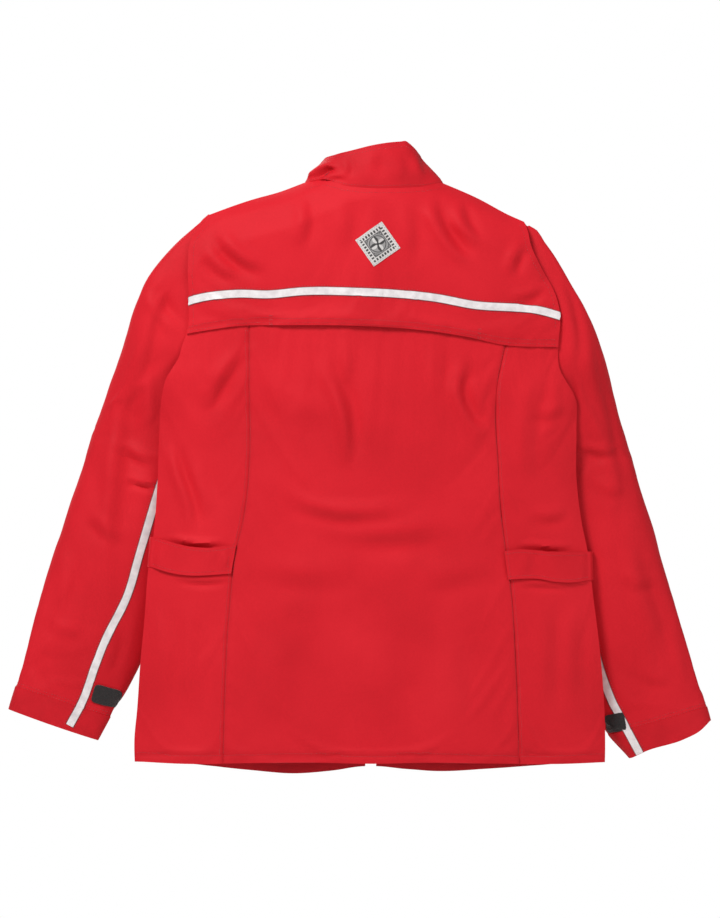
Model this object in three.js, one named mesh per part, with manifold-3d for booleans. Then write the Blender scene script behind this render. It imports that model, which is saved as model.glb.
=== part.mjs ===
// Foul weather jacket: a hip-length sailing jacket with a vented back yoke, stand collar,
// full-length zip under a storm flap, patch pockets, waist tabs and tape-trimmed sleeves.
//
// Frame: millimetres, +Z up, the back of the jacket faces -Y, the wearer's left is at -X.
// Heights are measured from the back hem and the whole jacket is moved down at the end, so that
// the origin is under the crown of the hang loop, where a hook carries the jacket.
//
// Cloth is modelled as thin sheets. Sheets laid on each other keep a small gap, so each stays a
// separate solid, and the moving pieces clear the ones that they slide past.

import * as THREE from "three";
import * as BufferGeometryUtils from "three/addons/utils/BufferGeometryUtils.js";
import Module from "manifold-3d";

const wasm = await Module();
wasm.setup();

// ---------------------------------------------------------------- driving dimensions
const gap = 0.4; // between edges that a seam joins
const layerGap = 0.7; // between sheets that lie on each other
const cloth = 1.6; // shell cloth with its lining coat and seam tape
const thinCloth = 0.9; // tapes, facings and linings

// body, half widths as the jacket lies flat
const backLength = 744; // neck seam at the centre back, above the hem
const chestHalf = 270;
const chestHeight = 470;
const waistHeight = 285;
const hemFlare = 35; // hem wider than the chest, each side
const waistFlare = 13;
const underarmInset = 8;
const armholeInset = 32;
const shoulderInset = 58;
const shoulderDrop = 46; // neck point down to shoulder tip
const armholeLength = 201; // shoulder tip down to underarm
const frontHemDrop = 9;

// neck and collar
const neckHalf = 86;
const neckRise = 8; // neck point above the centre back
const frontNeckDrop = 32;
const collarHeight = 57;
const collarTaper = 20; // how much each side leans in at the top

// fullness of the body
const backFullness = 34;
const frontFullness = 45;
const mouthHalf = 17; // half the depth of the armhole's mouth
const shoulderRoll = 50; // height over which the shoulders round off

// back yoke, vent and seams
const yokeDrop = [[-1, 186], [-0.45, 178], [0, 178], [0.5, 190], [1, 202]]; // share of armhole half, drop
const tapeDrop = [[-1, 146], [-0.55, 137], [0, 134], [0.5, 149], [1, 163]];
const tapeWidth = 11;
const ventLap = 30; // how far the yoke hangs over the panels
const ventHalf = 135;
const ventMeshHeight = 46;
const princessHalf = 190; // princess seam at the hem
const princessTopHalf = 160; // and at the yoke

// front
const chestSeamHeight = 440;
const scoopHalf = 166; // front armhole's deepest point, from the centre
const placketHalf = 7; // half the slot that the zip lies in
const flapHalf = 28;
const flapRise = 7; // how far the storm flap stands off over the zip
const snapCount = 4;
const snapRadius = 5;
const pocketWidth = 150;
const pocketHeight = 155;
const pocketDepth = 12;
const pocketBase = 60;
const pocketInner = 85; // pocket's inner edge from the centre
const pocketFlapHeight = 40;
const pocketWall = 2;

// zip
const zipTapeWidth = 11.5;
const teethWidth = 2.6;
const teethDepth = 2.2;
const sliderLength = 14;
const sliderWidth = 10;
const sliderWall = 1.6;
const pullerLength = 28;
const pullerWidth = 5;

// label, hang loop and waist tabs
const labelSide = 42;
const labelTurn = 35;
const labelDrop = 72;
const labelShift = 9;
const loopWidth = 46;
const loopRise = 13;
const loopBand = 3;
const tabLength = 112;
const tabWidth = 37;
const tabTop = 287;

// sleeves: distances run down the sleeve from the shoulder pivot
const pivotInset = 24; // pivot inside the chest width
const pivotDrop = { left: 133, right: 150 }; // pivot below the shoulder tip; the right sleeve hangs lower
const sleeveAngle = { left: 17.8, right: 15.9 };
const sleeveLength = 545;
const elbowDistance = 265;
const cuffLength = 28;
const bendClearance = 0.7;
const sleeveTapeOffset = { left: 38, right: 60 };
const patchOffset = { left: 55, right: 72 };
const patchLength = 36;
const patchWidth = 24;
const cuffTabLength = 74;
const cuffTabWidth = 26;

// ---------------------------------------------------------------- worked-out places
const neckPointHeight = backLength + neckRise;
const shoulderTipHeight = neckPointHeight - shoulderDrop;
const shoulderTipHalf = chestHalf - shoulderInset;
const armholeHalf = chestHalf - armholeInset;
const underarmHeight = shoulderTipHeight - armholeLength;
const hemHalf = chestHalf + hemFlare;
const frontNeckHeight = backLength - frontNeckDrop;
const seamHalf = gap / 2 + cloth; // outer face of a sheet where front and back meet
const frontFace = seamHalf + frontFullness; // outer face at the centre front
const collarTop = frontNeckHeight + collarHeight;

const lerp = (a, b, t) => a + (b - a) * t;
const clamp = (t) => Math.min(1, Math.max(0, t));
const smooth = (t) => clamp(t) ** 2 * (3 - 2 * clamp(t));
const radians = (degrees) => (degrees * Math.PI) / 180;

// value at a place between listed [place, value] pairs
function valueAt(pairs, place) {
  if (place <= pairs[0][0]) return pairs[0][1];
  for (let i = 1; i < pairs.length; i++) {
    const [from, to] = [pairs[i - 1], pairs[i]];
    if (place <= to[0]) return lerp(from[1], to[1], (place - from[0]) / (to[0] - from[0]));
  }
  return pairs[pairs.length - 1][1];
}

const halfWidths = [
  [0, hemHalf],
  [waistHeight, chestHalf + waistFlare],
  [chestHeight, chestHalf],
  [underarmHeight, chestHalf - underarmInset],
  [underarmHeight + 42, armholeHalf],
  [shoulderTipHeight - 55, armholeHalf],
  [shoulderTipHeight, shoulderTipHalf],
];
const halfWidth = (z) => valueAt(halfWidths, z);
const shoulderSlope = shoulderDrop / (shoulderTipHalf - neckHalf);
const shoulderHeight = (x) => neckPointHeight - (Math.abs(x) - neckHalf) * shoulderSlope;
const backNeckHeight = (x) => backLength + neckRise * (x / neckHalf) ** 2;
const frontNeckLine = (x) => lerp(frontNeckHeight, neckPointHeight, (x / neckHalf) ** 2);

// distance of the body's outer faces from the plane between front and back
function depth(x, z, fullness, roundness) {
  const across = clamp(Math.abs(x) / halfWidth(z));
  const roll = Math.sqrt(clamp((shoulderHeight(x) - z) / shoulderRoll));
  const mouth = mouthHalf * smooth((z - underarmHeight + 62) / 75);
  const crown = (fullness - mouth) * (1 - across * across) ** roundness;
  return seamHalf + roll * (mouth + crown);
}
const backDepth = (x, z) => depth(x, z, backFullness, 0.75);
const frontDepth = (x, z) => depth(x, z, frontFullness, 1.05);

// ---------------------------------------------------------------- solids
function solid(points, faces) {
  const volume = faces.reduce((sum, [a, b, c]) => {
    const cross = new THREE.Vector3().crossVectors(points[b], points[c]);
    return sum + points[a].dot(cross);
  }, 0);
  const order = volume < 0 ? ([a, b, c]) => [a, c, b] : (face) => face;
  const geometry = new THREE.BufferGeometry();
  geometry.setAttribute("position", new THREE.Float32BufferAttribute(points.flatMap((p) => p.toArray()), 3));
  geometry.setIndex(faces.flatMap(order));
  geometry.computeVertexNormals();
  return geometry;
}

// a sheet between two faces given over (u, v); a round one closes on itself in u
function sheet(columns, rows, faceOf, round = false) {
  const points = [];
  const across = round ? columns : columns + 1;
  for (const side of [0, 1]) {
    for (let row = 0; row <= rows; row++) {
      for (let column = 0; column < across; column++) {
        points.push(new THREE.Vector3(...faceOf(column / columns, row / rows, side)));
      }
    }
  }
  const at = (side, column, row) => (side * (rows + 1) + row) * across + (column % across);
  const faces = [];
  const quad = (a, b, c, d) => faces.push([a, b, c], [a, c, d]);
  for (let row = 0; row < rows; row++) {
    for (let column = 0; column < columns; column++) {
      const next = column + 1;
      quad(at(0, column, row), at(0, next, row), at(0, next, row + 1), at(0, column, row + 1));
      quad(at(1, column, row + 1), at(1, next, row + 1), at(1, next, row), at(1, column, row));
    }
  }
  for (let column = 0; column < columns; column++) {
    const next = column + 1;
    quad(at(1, column, 0), at(1, next, 0), at(0, next, 0), at(0, column, 0));
    quad(at(0, column, rows), at(0, next, rows), at(1, next, rows), at(1, column, rows));
  }
  for (let row = 0; row < rows && !round; row++) {
    quad(at(0, 0, row), at(0, 0, row + 1), at(1, 0, row + 1), at(1, 0, row));
    quad(at(1, columns, row), at(1, columns, row + 1), at(0, columns, row + 1), at(0, columns, row));
  }
  return solid(points, faces);
}

// point at a share of the length of a line through [x, z] points
function pointOn(line, share) {
  const lengths = line.slice(1).map((p, i) => Math.hypot(p[0] - line[i][0], p[1] - line[i][1]));
  let left = share * lengths.reduce((a, b) => a + b, 0);
  for (let i = 0; i < lengths.length; i++) {
    if (left <= lengths[i] || i === lengths.length - 1) {
      const t = left / lengths[i];
      return [lerp(line[i][0], line[i + 1][0], t), lerp(line[i][1], line[i + 1][1], t)];
    }
    left -= lengths[i];
  }
  return line[0];
}

// sheet of the body: four edge lines filled smoothly, laid on the back (-1) or the front (+1)
function panel({ low, high, inner, outer, face, columns = 6, rows = 8, lift = 0, thick = cloth }) {
  const ends = [low[0], low[low.length - 1], high[0], high[high.length - 1]];
  const depthAt = face < 0 ? backDepth : frontDepth;
  return sheet(columns, rows, (u, v, side) => {
    const edges = [pointOn(low, u), pointOn(high, u), pointOn(inner, v), pointOn(outer, v)];
    const [x, z] = [0, 1].map((i) => {
      const ruled = lerp(edges[0][i], edges[1][i], v) + lerp(edges[2][i], edges[3][i], u);
      return ruled - lerp(lerp(ends[0][i], ends[1][i], u), lerp(ends[2][i], ends[3][i], u), v);
    });
    const stand = depthAt(x, z) + lift - side * thick;
    return [x, face * stand, z];
  });
}

// points of a line z(x) between two x values
function lineOver(from, to, heightAt, steps = 8) {
  return Array.from({ length: steps + 1 }, (_, i) => {
    const x = lerp(from, to, i / steps);
    return [x, heightAt(x)];
  });
}

// points of a line x(z) between two heights, with one wherever the body's side turns
function lineUp(from, to, placeAt, steps = 8) {
  const even = Array.from({ length: steps + 1 }, (_, i) => lerp(from, to, i / steps));
  const turns = halfWidths.map(([z]) => z).filter((z) => z > from && z < to);
  return [...even, ...turns].sort((a, b) => a - b).map((z) => [placeAt(z), z]);
}

function toManifold(geometry) {
  const bare = geometry.clone();
  bare.deleteAttribute("normal");
  bare.deleteAttribute("uv");
  const merged = BufferGeometryUtils.mergeVertices(bare, 1e-4);
  return new wasm.Manifold(
    new wasm.Mesh({
      numProp: 3,
      vertProperties: new Float32Array(merged.attributes.position.array),
      triVerts: new Uint32Array(merged.index.array),
    }),
  );
}

function fromManifold(manifold) {
  const mesh = manifold.getMesh();
  const geometry = new THREE.BufferGeometry();
  const places = new Float32Array(mesh.numVert * 3);
  for (let i = 0; i < mesh.numVert; i++) {
    for (const axis of [0, 1, 2]) places[i * 3 + axis] = mesh.vertProperties[i * mesh.numProp + axis];
  }
  geometry.setAttribute("position", new THREE.BufferAttribute(places, 3));
  geometry.setIndex(new THREE.BufferAttribute(new Uint32Array(mesh.triVerts), 1));
  geometry.computeVertexNormals();
  return geometry;
}

// ---------------------------------------------------------------- materials
const finish = (color, roughness, metalness = 0) => new THREE.MeshStandardMaterial({ color, roughness, metalness });
const shellRed = finish("#ce232c", 0.72);
const liningGrey = finish("#2b2d33", 0.85);
const tapeSilver = finish("#e6dedf", 0.4, 0.2);
const meshGrey = finish("#3a3b40", 0.9);
const hookBlack = finish("#1a1514", 0.95);
const labelGrey = finish("#d8d4d2", 0.7);
const zipTapeRed = finish("#9f1b26", 0.8);
const zipPlastic = finish("#7c1620", 0.45);
const snapMetal = finish("#8f9196", 0.35, 0.9);

const jacket = new THREE.Group();
function add(name, geometry, material, parent = jacket) {
  const mesh = new THREE.Mesh(geometry, material);
  mesh.name = name;
  parent.add(mesh);
  return mesh;
}

// ---------------------------------------------------------------- back
const yokeEdge = (x) => backLength - valueAt(yokeDrop, x / armholeHalf);
const tapeHeight = (x) => backLength - valueAt(tapeDrop, x / armholeHalf);
const princess = (z) => lerp(princessHalf, princessTopHalf, clamp(z / chestHeight));
const yokeLift = cloth + layerGap + 0.2;

function backYoke() {
  const shoulder = [-shoulderTipHalf, shoulderTipHeight];
  const neck = lineOver(-neckHalf, neckHalf, backNeckHeight, 6);
  return panel({
    low: lineOver(-armholeHalf, armholeHalf, yokeEdge, 10),
    high: [shoulder, ...neck, [-shoulder[0], shoulder[1]]],
    inner: lineUp(yokeEdge(-armholeHalf), shoulderTipHeight, (z) => -halfWidth(z)),
    outer: lineUp(yokeEdge(armholeHalf), shoulderTipHeight, halfWidth),
    face: -1, columns: 24, rows: 6, lift: yokeLift,
  });
}

function backPanel(fromX, toX, columns, rows) {
  const top = (x) => yokeEdge(x) + ventLap;
  const cornerTop = (edge) => {
    let z = yokeEdge(0);
    for (let i = 0; i < 20; i++) z = top(edge(z));
    return z;
  };
  const [leftTop, rightTop] = [cornerTop(fromX), cornerTop(toX)];
  return panel({
    low: [[fromX(0), 0], [toX(0), 0]],
    high: lineOver(fromX(leftTop), toX(rightTop), top, 6),
    inner: lineUp(0, leftTop, fromX, 10),
    outer: lineUp(0, rightTop, toX, 10),
    face: -1, columns, rows,
  });
}

add("back_yoke", backYoke(), shellRed);
const centerEdge = (z) => princess(z) - 0.75 * gap;
const sideEdge = (z) => princess(z) + 0.75 * gap;
add("back_center_panel", backPanel((z) => -centerEdge(z), centerEdge, 8, 12), shellRed);
add("back_side_panel_left", backPanel((z) => -halfWidth(z), (z) => -sideEdge(z), 5, 22), shellRed);
add("back_side_panel_right", backPanel(sideEdge, halfWidth, 5, 22), shellRed);

// mesh behind the open part of the yoke's edge, standing on the centre panel's top
const ventLow = (x) => yokeEdge(x) + ventLap + gap;
add(
  "yoke_vent_mesh",
  panel({
    low: lineOver(-ventHalf, ventHalf, ventLow),
    high: lineOver(-ventHalf, ventHalf, (x) => ventLow(x) + ventMeshHeight),
    inner: lineUp(ventLow(-ventHalf), ventLow(-ventHalf) + ventMeshHeight, () => -ventHalf, 2),
    outer: lineUp(ventLow(ventHalf), ventLow(ventHalf) + ventMeshHeight, () => ventHalf, 2),
    face: -1, columns: 8, rows: 3, thick: thinCloth,
  }),
  meshGrey,
);

// a tape of constant width laid along z(x)
function tapeAcross(from, to, heightAt, face, lift) {
  const half = tapeWidth / 2;
  return panel({
    low: lineOver(from, to, (x) => heightAt(x) - half),
    high: lineOver(from, to, (x) => heightAt(x) + half),
    inner: lineUp(heightAt(from) - half, heightAt(from) + half, () => from, 1),
    outer: lineUp(heightAt(to) - half, heightAt(to) + half, () => to, 1),
    face, columns: 14, rows: 1, lift, thick: thinCloth,
  });
}
const tapeEnd = armholeHalf - 1;
const overYoke = yokeLift + layerGap + thinCloth;
add("back_reflective_tape", tapeAcross(-tapeEnd, tapeEnd, tapeHeight, -1, overYoke), tapeSilver);

function labelPatch() {
  const plate = new THREE.BoxGeometry(labelSide, thinCloth, labelSide);
  plate.rotateY(radians(labelTurn));
  const z = backLength - labelDrop;
  plate.translate(labelShift, -backDepth(labelShift, z) - yokeLift - layerGap - thinCloth / 2, z);
  return plate;
}
add("label_patch", labelPatch(), labelGrey);

// facing turned up inside the back hem
const facingHalf = hemHalf - 60;
add(
  "hem_facing_back",
  panel({
    low: [[-facingHalf, 1], [facingHalf, 1]],
    high: [[-facingHalf, 26], [facingHalf, 26]],
    inner: [[-facingHalf, 1], [-facingHalf, 26]],
    outer: [[facingHalf, 1], [facingHalf, 26]],
    face: -1, columns: 12, rows: 1, lift: -cloth - layerGap, thick: thinCloth,
  }),
  shellRed,
);

// ---------------------------------------------------------------- front
const frontHem = (x) => -frontHemDrop * (1 - (x / hemHalf) ** 2);
const mirror = (line, hand) => line.map(([x, z]) => [hand * x, z]);

function frontPanel(hand) {
  return panel({
    low: mirror(lineOver(hemHalf, placketHalf, frontHem), hand),
    high: mirror([[halfWidth(chestSeamHeight), chestSeamHeight], [placketHalf, chestSeamHeight]], hand),
    inner: mirror(lineUp(0, chestSeamHeight, halfWidth), hand),
    outer: mirror([[placketHalf, frontHem(placketHalf)], [placketHalf, chestSeamHeight]], hand),
    face: 1, columns: 8, rows: 9,
  });
}

// front armhole: from the chest seam round the sleeve's head to the shoulder tip
const scoop = [
  [scoopHalf + 14, chestSeamHeight + gap],
  [scoopHalf, chestSeamHeight + 60],
  [scoopHalf, shoulderTipHeight - 140],
  [scoopHalf + 18, shoulderTipHeight - 92],
  [armholeHalf - 16, shoulderTipHeight - 60],
  [armholeHalf - 4, shoulderTipHeight - 48],
  [shoulderTipHalf, shoulderTipHeight],
];

function frontYoke(hand) {
  const neck = lineOver(neckHalf, placketHalf, frontNeckLine, 8);
  return panel({
    low: mirror([scoop[0], [placketHalf, chestSeamHeight + gap]], hand),
    high: mirror([scoop[scoop.length - 1], ...neck], hand),
    inner: mirror(scoop, hand),
    outer: mirror([[placketHalf, chestSeamHeight + gap], neck[neck.length - 1]], hand),
    face: 1, columns: 12, rows: 9,
  });
}

// lining: full width below the armholes, narrow above them where the sleeve heads turn
const liningHalf = (z) => valueAt(
  [[30, hemHalf - 70], [chestHeight - 90, chestHalf - 80], [chestHeight, 120], [shoulderTipHeight, 92]],
  z,
);
const liningLift = -cloth - layerGap;

function liningBack() {
  const [low, high] = [30, backLength - 24];
  return panel({
    low: [[-liningHalf(low), low], [liningHalf(low), low]],
    high: [[-liningHalf(high), high], [liningHalf(high), high]],
    inner: lineUp(low, high, (z) => -liningHalf(z)),
    outer: lineUp(low, high, liningHalf),
    face: -1, columns: 8, rows: 10, lift: liningLift, thick: thinCloth,
  });
}

function liningFront(hand) {
  const [low, high] = [30, frontNeckHeight - 45];
  const zipSide = placketHalf + zipTapeWidth;
  return panel({
    low: mirror([[liningHalf(low), low], [zipSide, low]], hand),
    high: mirror([[liningHalf(high), high], [zipSide, high]], hand),
    inner: mirror(lineUp(low, high, liningHalf), hand),
    outer: mirror([[zipSide, low], [zipSide, high]], hand),
    face: 1, columns: 6, rows: 9, lift: liningLift, thick: thinCloth,
  });
}
add("lining_back", liningBack(), liningGrey);

// patch pocket: a face with sides and a bottom, open at the top and sewn to the panel
const pocketOuter = pocketInner + pocketWidth;
function pocketBlock(hand, inset, lift, thick, top) {
  const [near, far] = [pocketInner + inset, pocketOuter - inset];
  const [low, high] = [pocketBase + inset, pocketBase + pocketHeight + top];
  return panel({
    low: mirror([[far, low], [near, low]], hand),
    high: mirror([[far, high], [near, high]], hand),
    inner: mirror([[far, low], [far, high]], hand),
    outer: mirror([[near, low], [near, high]], hand),
    face: 1, columns: 6, rows: 3, lift, thick,
  });
}
function pocket(hand) {
  const outerLift = layerGap + pocketDepth + pocketWall;
  const block = toManifold(pocketBlock(hand, 0, outerLift, pocketDepth + pocketWall, 0));
  const space = toManifold(pocketBlock(hand, pocketWall, layerGap + pocketDepth, pocketDepth + 4, 10));
  return fromManifold(block.subtract(space));
}

const flapLow = pocketBase + pocketHeight - 24;
function pocketFlap(hand) {
  const high = flapLow + pocketFlapHeight;
  const far = pocketOuter + 3;
  const near = pocketInner - 3;
  return panel({
    low: mirror([[far, flapLow], [near, flapLow]], hand),
    high: mirror([[far, high], [near, high]], hand),
    inner: mirror([[far, flapLow], [far, high]], hand),
    outer: mirror([[near, flapLow], [near, high]], hand),
    face: 1, columns: 6, rows: 2, lift: 2 * layerGap + pocketDepth + pocketWall + cloth,
  });
}

const frontTapeHeight = (x) => tapeHeight(0) - 4 - 0.05 * Math.abs(x);
for (const [side, hand] of [["left", -1], ["right", 1]]) {
  add(`front_panel_${side}`, frontPanel(hand), shellRed);
  add(`front_yoke_${side}`, frontYoke(hand), shellRed);
  add(`lining_front_${side}`, liningFront(hand), liningGrey);
  add(`pocket_${side}`, pocket(hand), shellRed);
  add(`pocket_flap_${side}`, pocketFlap(hand), shellRed);
  const [tapeNear, tapeFar] = [flapHalf + 2, scoopHalf + 3].map((x) => hand * x);
  const tape = tapeAcross(tapeNear, tapeFar, frontTapeHeight, 1, layerGap + thinCloth);
  add(`front_reflective_tape_${side}`, tape, tapeSilver);
}

// ---------------------------------------------------------------- zip and storm flap
const zipLow = 4;
const zipHigh = collarTop - 6;
const tapeFace = frontFace - cloth - layerGap - 0.2; // face of the zip tape
const teethBack = tapeFace + 0.3;
const teethFront = teethBack + teethDepth;

function bar([x0, x1], [y0, y1], [z0, z1]) {
  const box = new THREE.BoxGeometry(x1 - x0, y1 - y0, z1 - z0);
  return box.translate((x0 + x1) / 2, (y0 + y1) / 2, (z0 + z1) / 2);
}

for (const [side, hand] of [["left", -1], ["right", 1]]) {
  const across = (near, far) => [near * hand, far * hand].sort((a, b) => a - b);
  const tapeSpan = across(gap, zipTapeWidth);
  add(`zip_tape_${side}`, bar(tapeSpan, [tapeFace - thinCloth, tapeFace], [zipLow, zipHigh]), zipTapeRed);
  const teethSpan = across(gap, gap + teethWidth);
  add(`zip_teeth_${side}`, bar(teethSpan, [teethBack, teethFront], [zipLow + 9, zipHigh - 2]), zipPlastic);
}
add("zip_retainer_box", bar([-3.6, 3.6], [teethBack, teethFront], [zipLow, zipLow + 8.6]), zipPlastic);

// slider: a channel over the teeth with a bridge that holds the puller
const sliderTop = zipHigh - 3;
function zipSlider() {
  const half = sliderWidth / 2;
  const outline = new THREE.Shape();
  const back = teethBack;
  const under = teethFront + 0.5;
  const front = under + sliderWall;
  outline.moveTo(-half, back);
  outline.lineTo(-half + sliderWall, back);
  outline.lineTo(-half + sliderWall, under);
  outline.lineTo(half - sliderWall, under);
  outline.lineTo(half - sliderWall, back);
  outline.lineTo(half, back);
  outline.lineTo(half, front);
  outline.lineTo(-half, front);
  const channel = new THREE.ExtrudeGeometry(outline, { depth: sliderLength, bevelEnabled: false });
  channel.translate(0, 0, sliderTop - sliderLength);
  const bridge = bar([-0.9, 0.9], [front - 0.3, front + 3.2], [sliderTop - 11, sliderTop - 3]);
  const eye = bar([-2, 2], [front + 0.45, front + 2.35], [sliderTop - 9.2, sliderTop - 5]);
  return fromManifold(toManifold(channel).add(toManifold(bridge)).subtract(toManifold(eye)));
}
const sliderFront = teethFront + 0.5 + sliderWall;

// puller: a tab with a slot round the slider's bridge
function zipPuller() {
  const outline = new THREE.Shape();
  const half = pullerWidth / 2;
  outline.moveTo(-half, 0);
  outline.lineTo(half, 0);
  outline.lineTo(half * 0.7, pullerLength);
  outline.lineTo(-half * 0.7, pullerLength);
  const slot = new THREE.Path();
  slot.moveTo(-1.2, pullerLength - 6.6);
  slot.lineTo(-1.2, pullerLength - 1.2);
  slot.lineTo(1.2, pullerLength - 1.2);
  slot.lineTo(1.2, pullerLength - 6.6);
  outline.holes.push(slot);
  const tab = new THREE.ExtrudeGeometry(outline, { depth: 0.9, bevelEnabled: false });
  tab.rotateX(Math.PI / 2);
  const pin = pullerLength - 0.6;
  return tab.translate(0, sliderFront + 1.85, sliderTop - 7 - pin);
}
add("zip_slider", zipSlider(), zipPlastic);
add("zip_puller", zipPuller(), snapMetal);

const flapLift = 2 + cloth;
const flapBump = (x) => flapRise * (1 - smooth((Math.abs(x) - 6) / 10));
const flapTop = frontNeckHeight - 3;
const flapPlaces = [-28, -22, -16, -13, -10, -6, 6, 10, 13, 16, 22, 28].map((x) => (x * flapHalf) / 28);
function stormFlap() {
  const [low, high] = [2, flapTop];
  return sheet(flapPlaces.length - 1, 6, (u, v, side) => {
    const x = flapPlaces[Math.round(u * (flapPlaces.length - 1))];
    return [x, frontFace + flapLift + flapBump(x) - side * cloth, lerp(low, high, v)];
  });
}
add("storm_flap", stormFlap(), shellRed);

const snapX = -(flapHalf - 6);
for (let i = 0; i < snapCount; i++) {
  const z = lerp(40, flapTop - 35, i / (snapCount - 1));
  const socket = new THREE.CylinderGeometry(snapRadius, snapRadius, 1.2, 16);
  add(`snap_socket_${i + 1}`, socket.translate(snapX, frontFace + 0.3 + 0.6, z), snapMetal);
  const cap = new THREE.CylinderGeometry(snapRadius, snapRadius + 0.8, 1.4, 16);
  add(`snap_cap_${i + 1}`, cap.translate(snapX, frontFace + flapLift + 0.3 + 0.7, z), snapMetal);
}

// ---------------------------------------------------------------- collar and hang loop
const collarBackDepth = 30;
const frontSeat = 0.6; // the front neck edge curves up, so the collar stands a little higher on it
function collarRing(inset, low, high, slot) {
  const start = slot / (neckHalf - collarTaper);
  return (u, v, side) => {
    const turn = lerp(start, 2 * Math.PI - start, u);
    const taper = collarTaper * v;
    const wall = inset + side * (inset > 0 ? thinCloth : cloth);
    const half = neckHalf - taper - wall;
    const [frontReach, backReach] = [frontFace - wall, collarBackDepth - 0.2 * taper - wall];
    const middle = (frontReach - backReach) / 2;
    const x = -Math.sin(turn) * half;
    const y = middle + Math.cos(turn) * (frontReach - middle);
    const base = Math.cos(turn) > 0 ? frontNeckLine(x) + frontSeat : backNeckHeight(x);
    const rise = lerp(low, high, v);
    return [x, y, base + gap + rise];
  };
}
add("collar", sheet(26, 3, collarRing(0, 0, collarHeight, placketHalf + 0.5)), shellRed);
const liningInset = cloth + layerGap + 0.4;
const liningSlot = zipTapeWidth + 3;
add("collar_lining", sheet(26, 3, collarRing(liningInset, 1, collarHeight - 4, liningSlot)), liningGrey);

// hang loop: a narrow arch of tape inside the back of the neck, its feet at the neck seam
const loopPlane = -(collarBackDepth - cloth - layerGap - thinCloth - 5);
const loopFoot = backLength + 4;
const loopShift = 4;
function hangLoop() {
  const arch = (u, v, side) => {
    const turn = Math.PI * u;
    const reach = loopWidth / 2 - side * thinCloth;
    const rise = loopRise - side * thinCloth;
    return [
      loopShift - Math.cos(turn) * reach,
      loopPlane + (v - 0.5) * loopBand,
      loopFoot + Math.sin(turn) * rise,
    ];
  };
  return sheet(12, 1, arch);
}
add("hang_loop", hangLoop(), shellRed);

// ---------------------------------------------------------------- waist tabs
function waistTab(hand) {
  const start = princess(tabTop) + 3;
  const end = start + tabLength;
  const low = tabTop - tabWidth;
  return panel({
    low: mirror([[end, low + 2], [start, low - 4]], hand),
    high: mirror([[end, tabTop + 2], [start, tabTop - 6]], hand),
    inner: mirror([[end, low + 2], [end, tabTop + 2]], hand),
    outer: mirror([[start, low - 4], [start, tabTop - 6]], hand),
    face: -1, columns: 6, rows: 2, lift: layerGap + cloth,
  });
}
add("waist_tab_left", waistTab(-1), shellRed);
add("waist_tab_right", waistTab(1), shellRed);

// ---------------------------------------------------------------- sleeves
// down the sleeve: reach outwards and inwards of the axis, and the near and far faces in Y
const reachOut = [[-110, 22], [-85, 44], [-50, 60], [-20, 64], [0, 64], [elbowDistance, 66], [sleeveLength, 60]];
const reachIn = [
  [-110, 48], [-85, 62], [-50, 72], [0, 75], [110, 72], [elbowDistance - 40, 74], [elbowDistance + 40, 74],
  [sleeveLength - 110, 84], [sleeveLength - 55, 75], [sleeveLength, 61],
];
const nearFace = [
  [-110, -8], [-85, -13], [-50, -16.6], [40, -16.6], [110, 8], [elbowDistance - 40, 10], [elbowDistance + 40, 10],
  [sleeveLength - 115, 16], [sleeveLength, 18],
];
const farFace = [
  [-110, 8], [-85, 13], [-50, 15], [-20, 15], [0, 26], [40, 55], [110, 76], [elbowDistance - 40, 80],
  [elbowDistance + 40, 80], [sleeveLength - 115, 54], [sleeveLength, 54],
];

// middle and half sizes of the sleeve's section at a distance down it
function section(s) {
  const [out, into] = [valueAt(reachOut, s), valueAt(reachIn, s)];
  const [near, far] = [valueAt(nearFace, s), valueAt(farFace, s)];
  return { shift: (into - out) / 2, half: (into + out) / 2, middle: (near + far) / 2, deep: (far - near) / 2 };
}

// sleeve frame: local X runs inwards across the sleeve, local Y is the jacket's, local Z runs up
function sleeveGroup(side, hand) {
  const group = new THREE.Group();
  group.position.set(hand * (chestHalf - pivotInset), 0, shoulderTipHeight - pivotDrop[side]);
  group.rotation.y = hand * radians(-sleeveAngle[side]);
  jacket.add(group);
  return group;
}

// point on a sleeve's section: turn 0 is the inner edge, a quarter is the far face
function around(hand, s, turn, inset) {
  const { shift, half, middle, deep } = section(s);
  const x = shift + Math.cos(turn) * (half - inset);
  return [-hand * x, middle + Math.sin(turn) * (deep - inset), -s];
}

// end of the upper sleeve: cut back in front of the elbow, so that the forearm can fold forwards
function elbowRim(turn) {
  const { deep } = section(elbowDistance);
  const forward = Math.sin(turn);
  const cut = forward < -0.01 ? 0 : Math.max(forward, 0.25);
  return elbowDistance - bendClearance - cut * (deep + bendClearance);
}

function upperSleeve(hand) {
  const stations = [-110, -85, -50, -20, 0, 40, 110, 170, 1];
  return sheet(24, stations.length - 1, (u, v, side) => {
    const turn = 2 * Math.PI * u;
    const index = Math.round(v * (stations.length - 1));
    const s = index === stations.length - 1 ? elbowRim(turn) : stations[index];
    return around(hand, s, turn, side * cloth);
  }, true);
}

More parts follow.
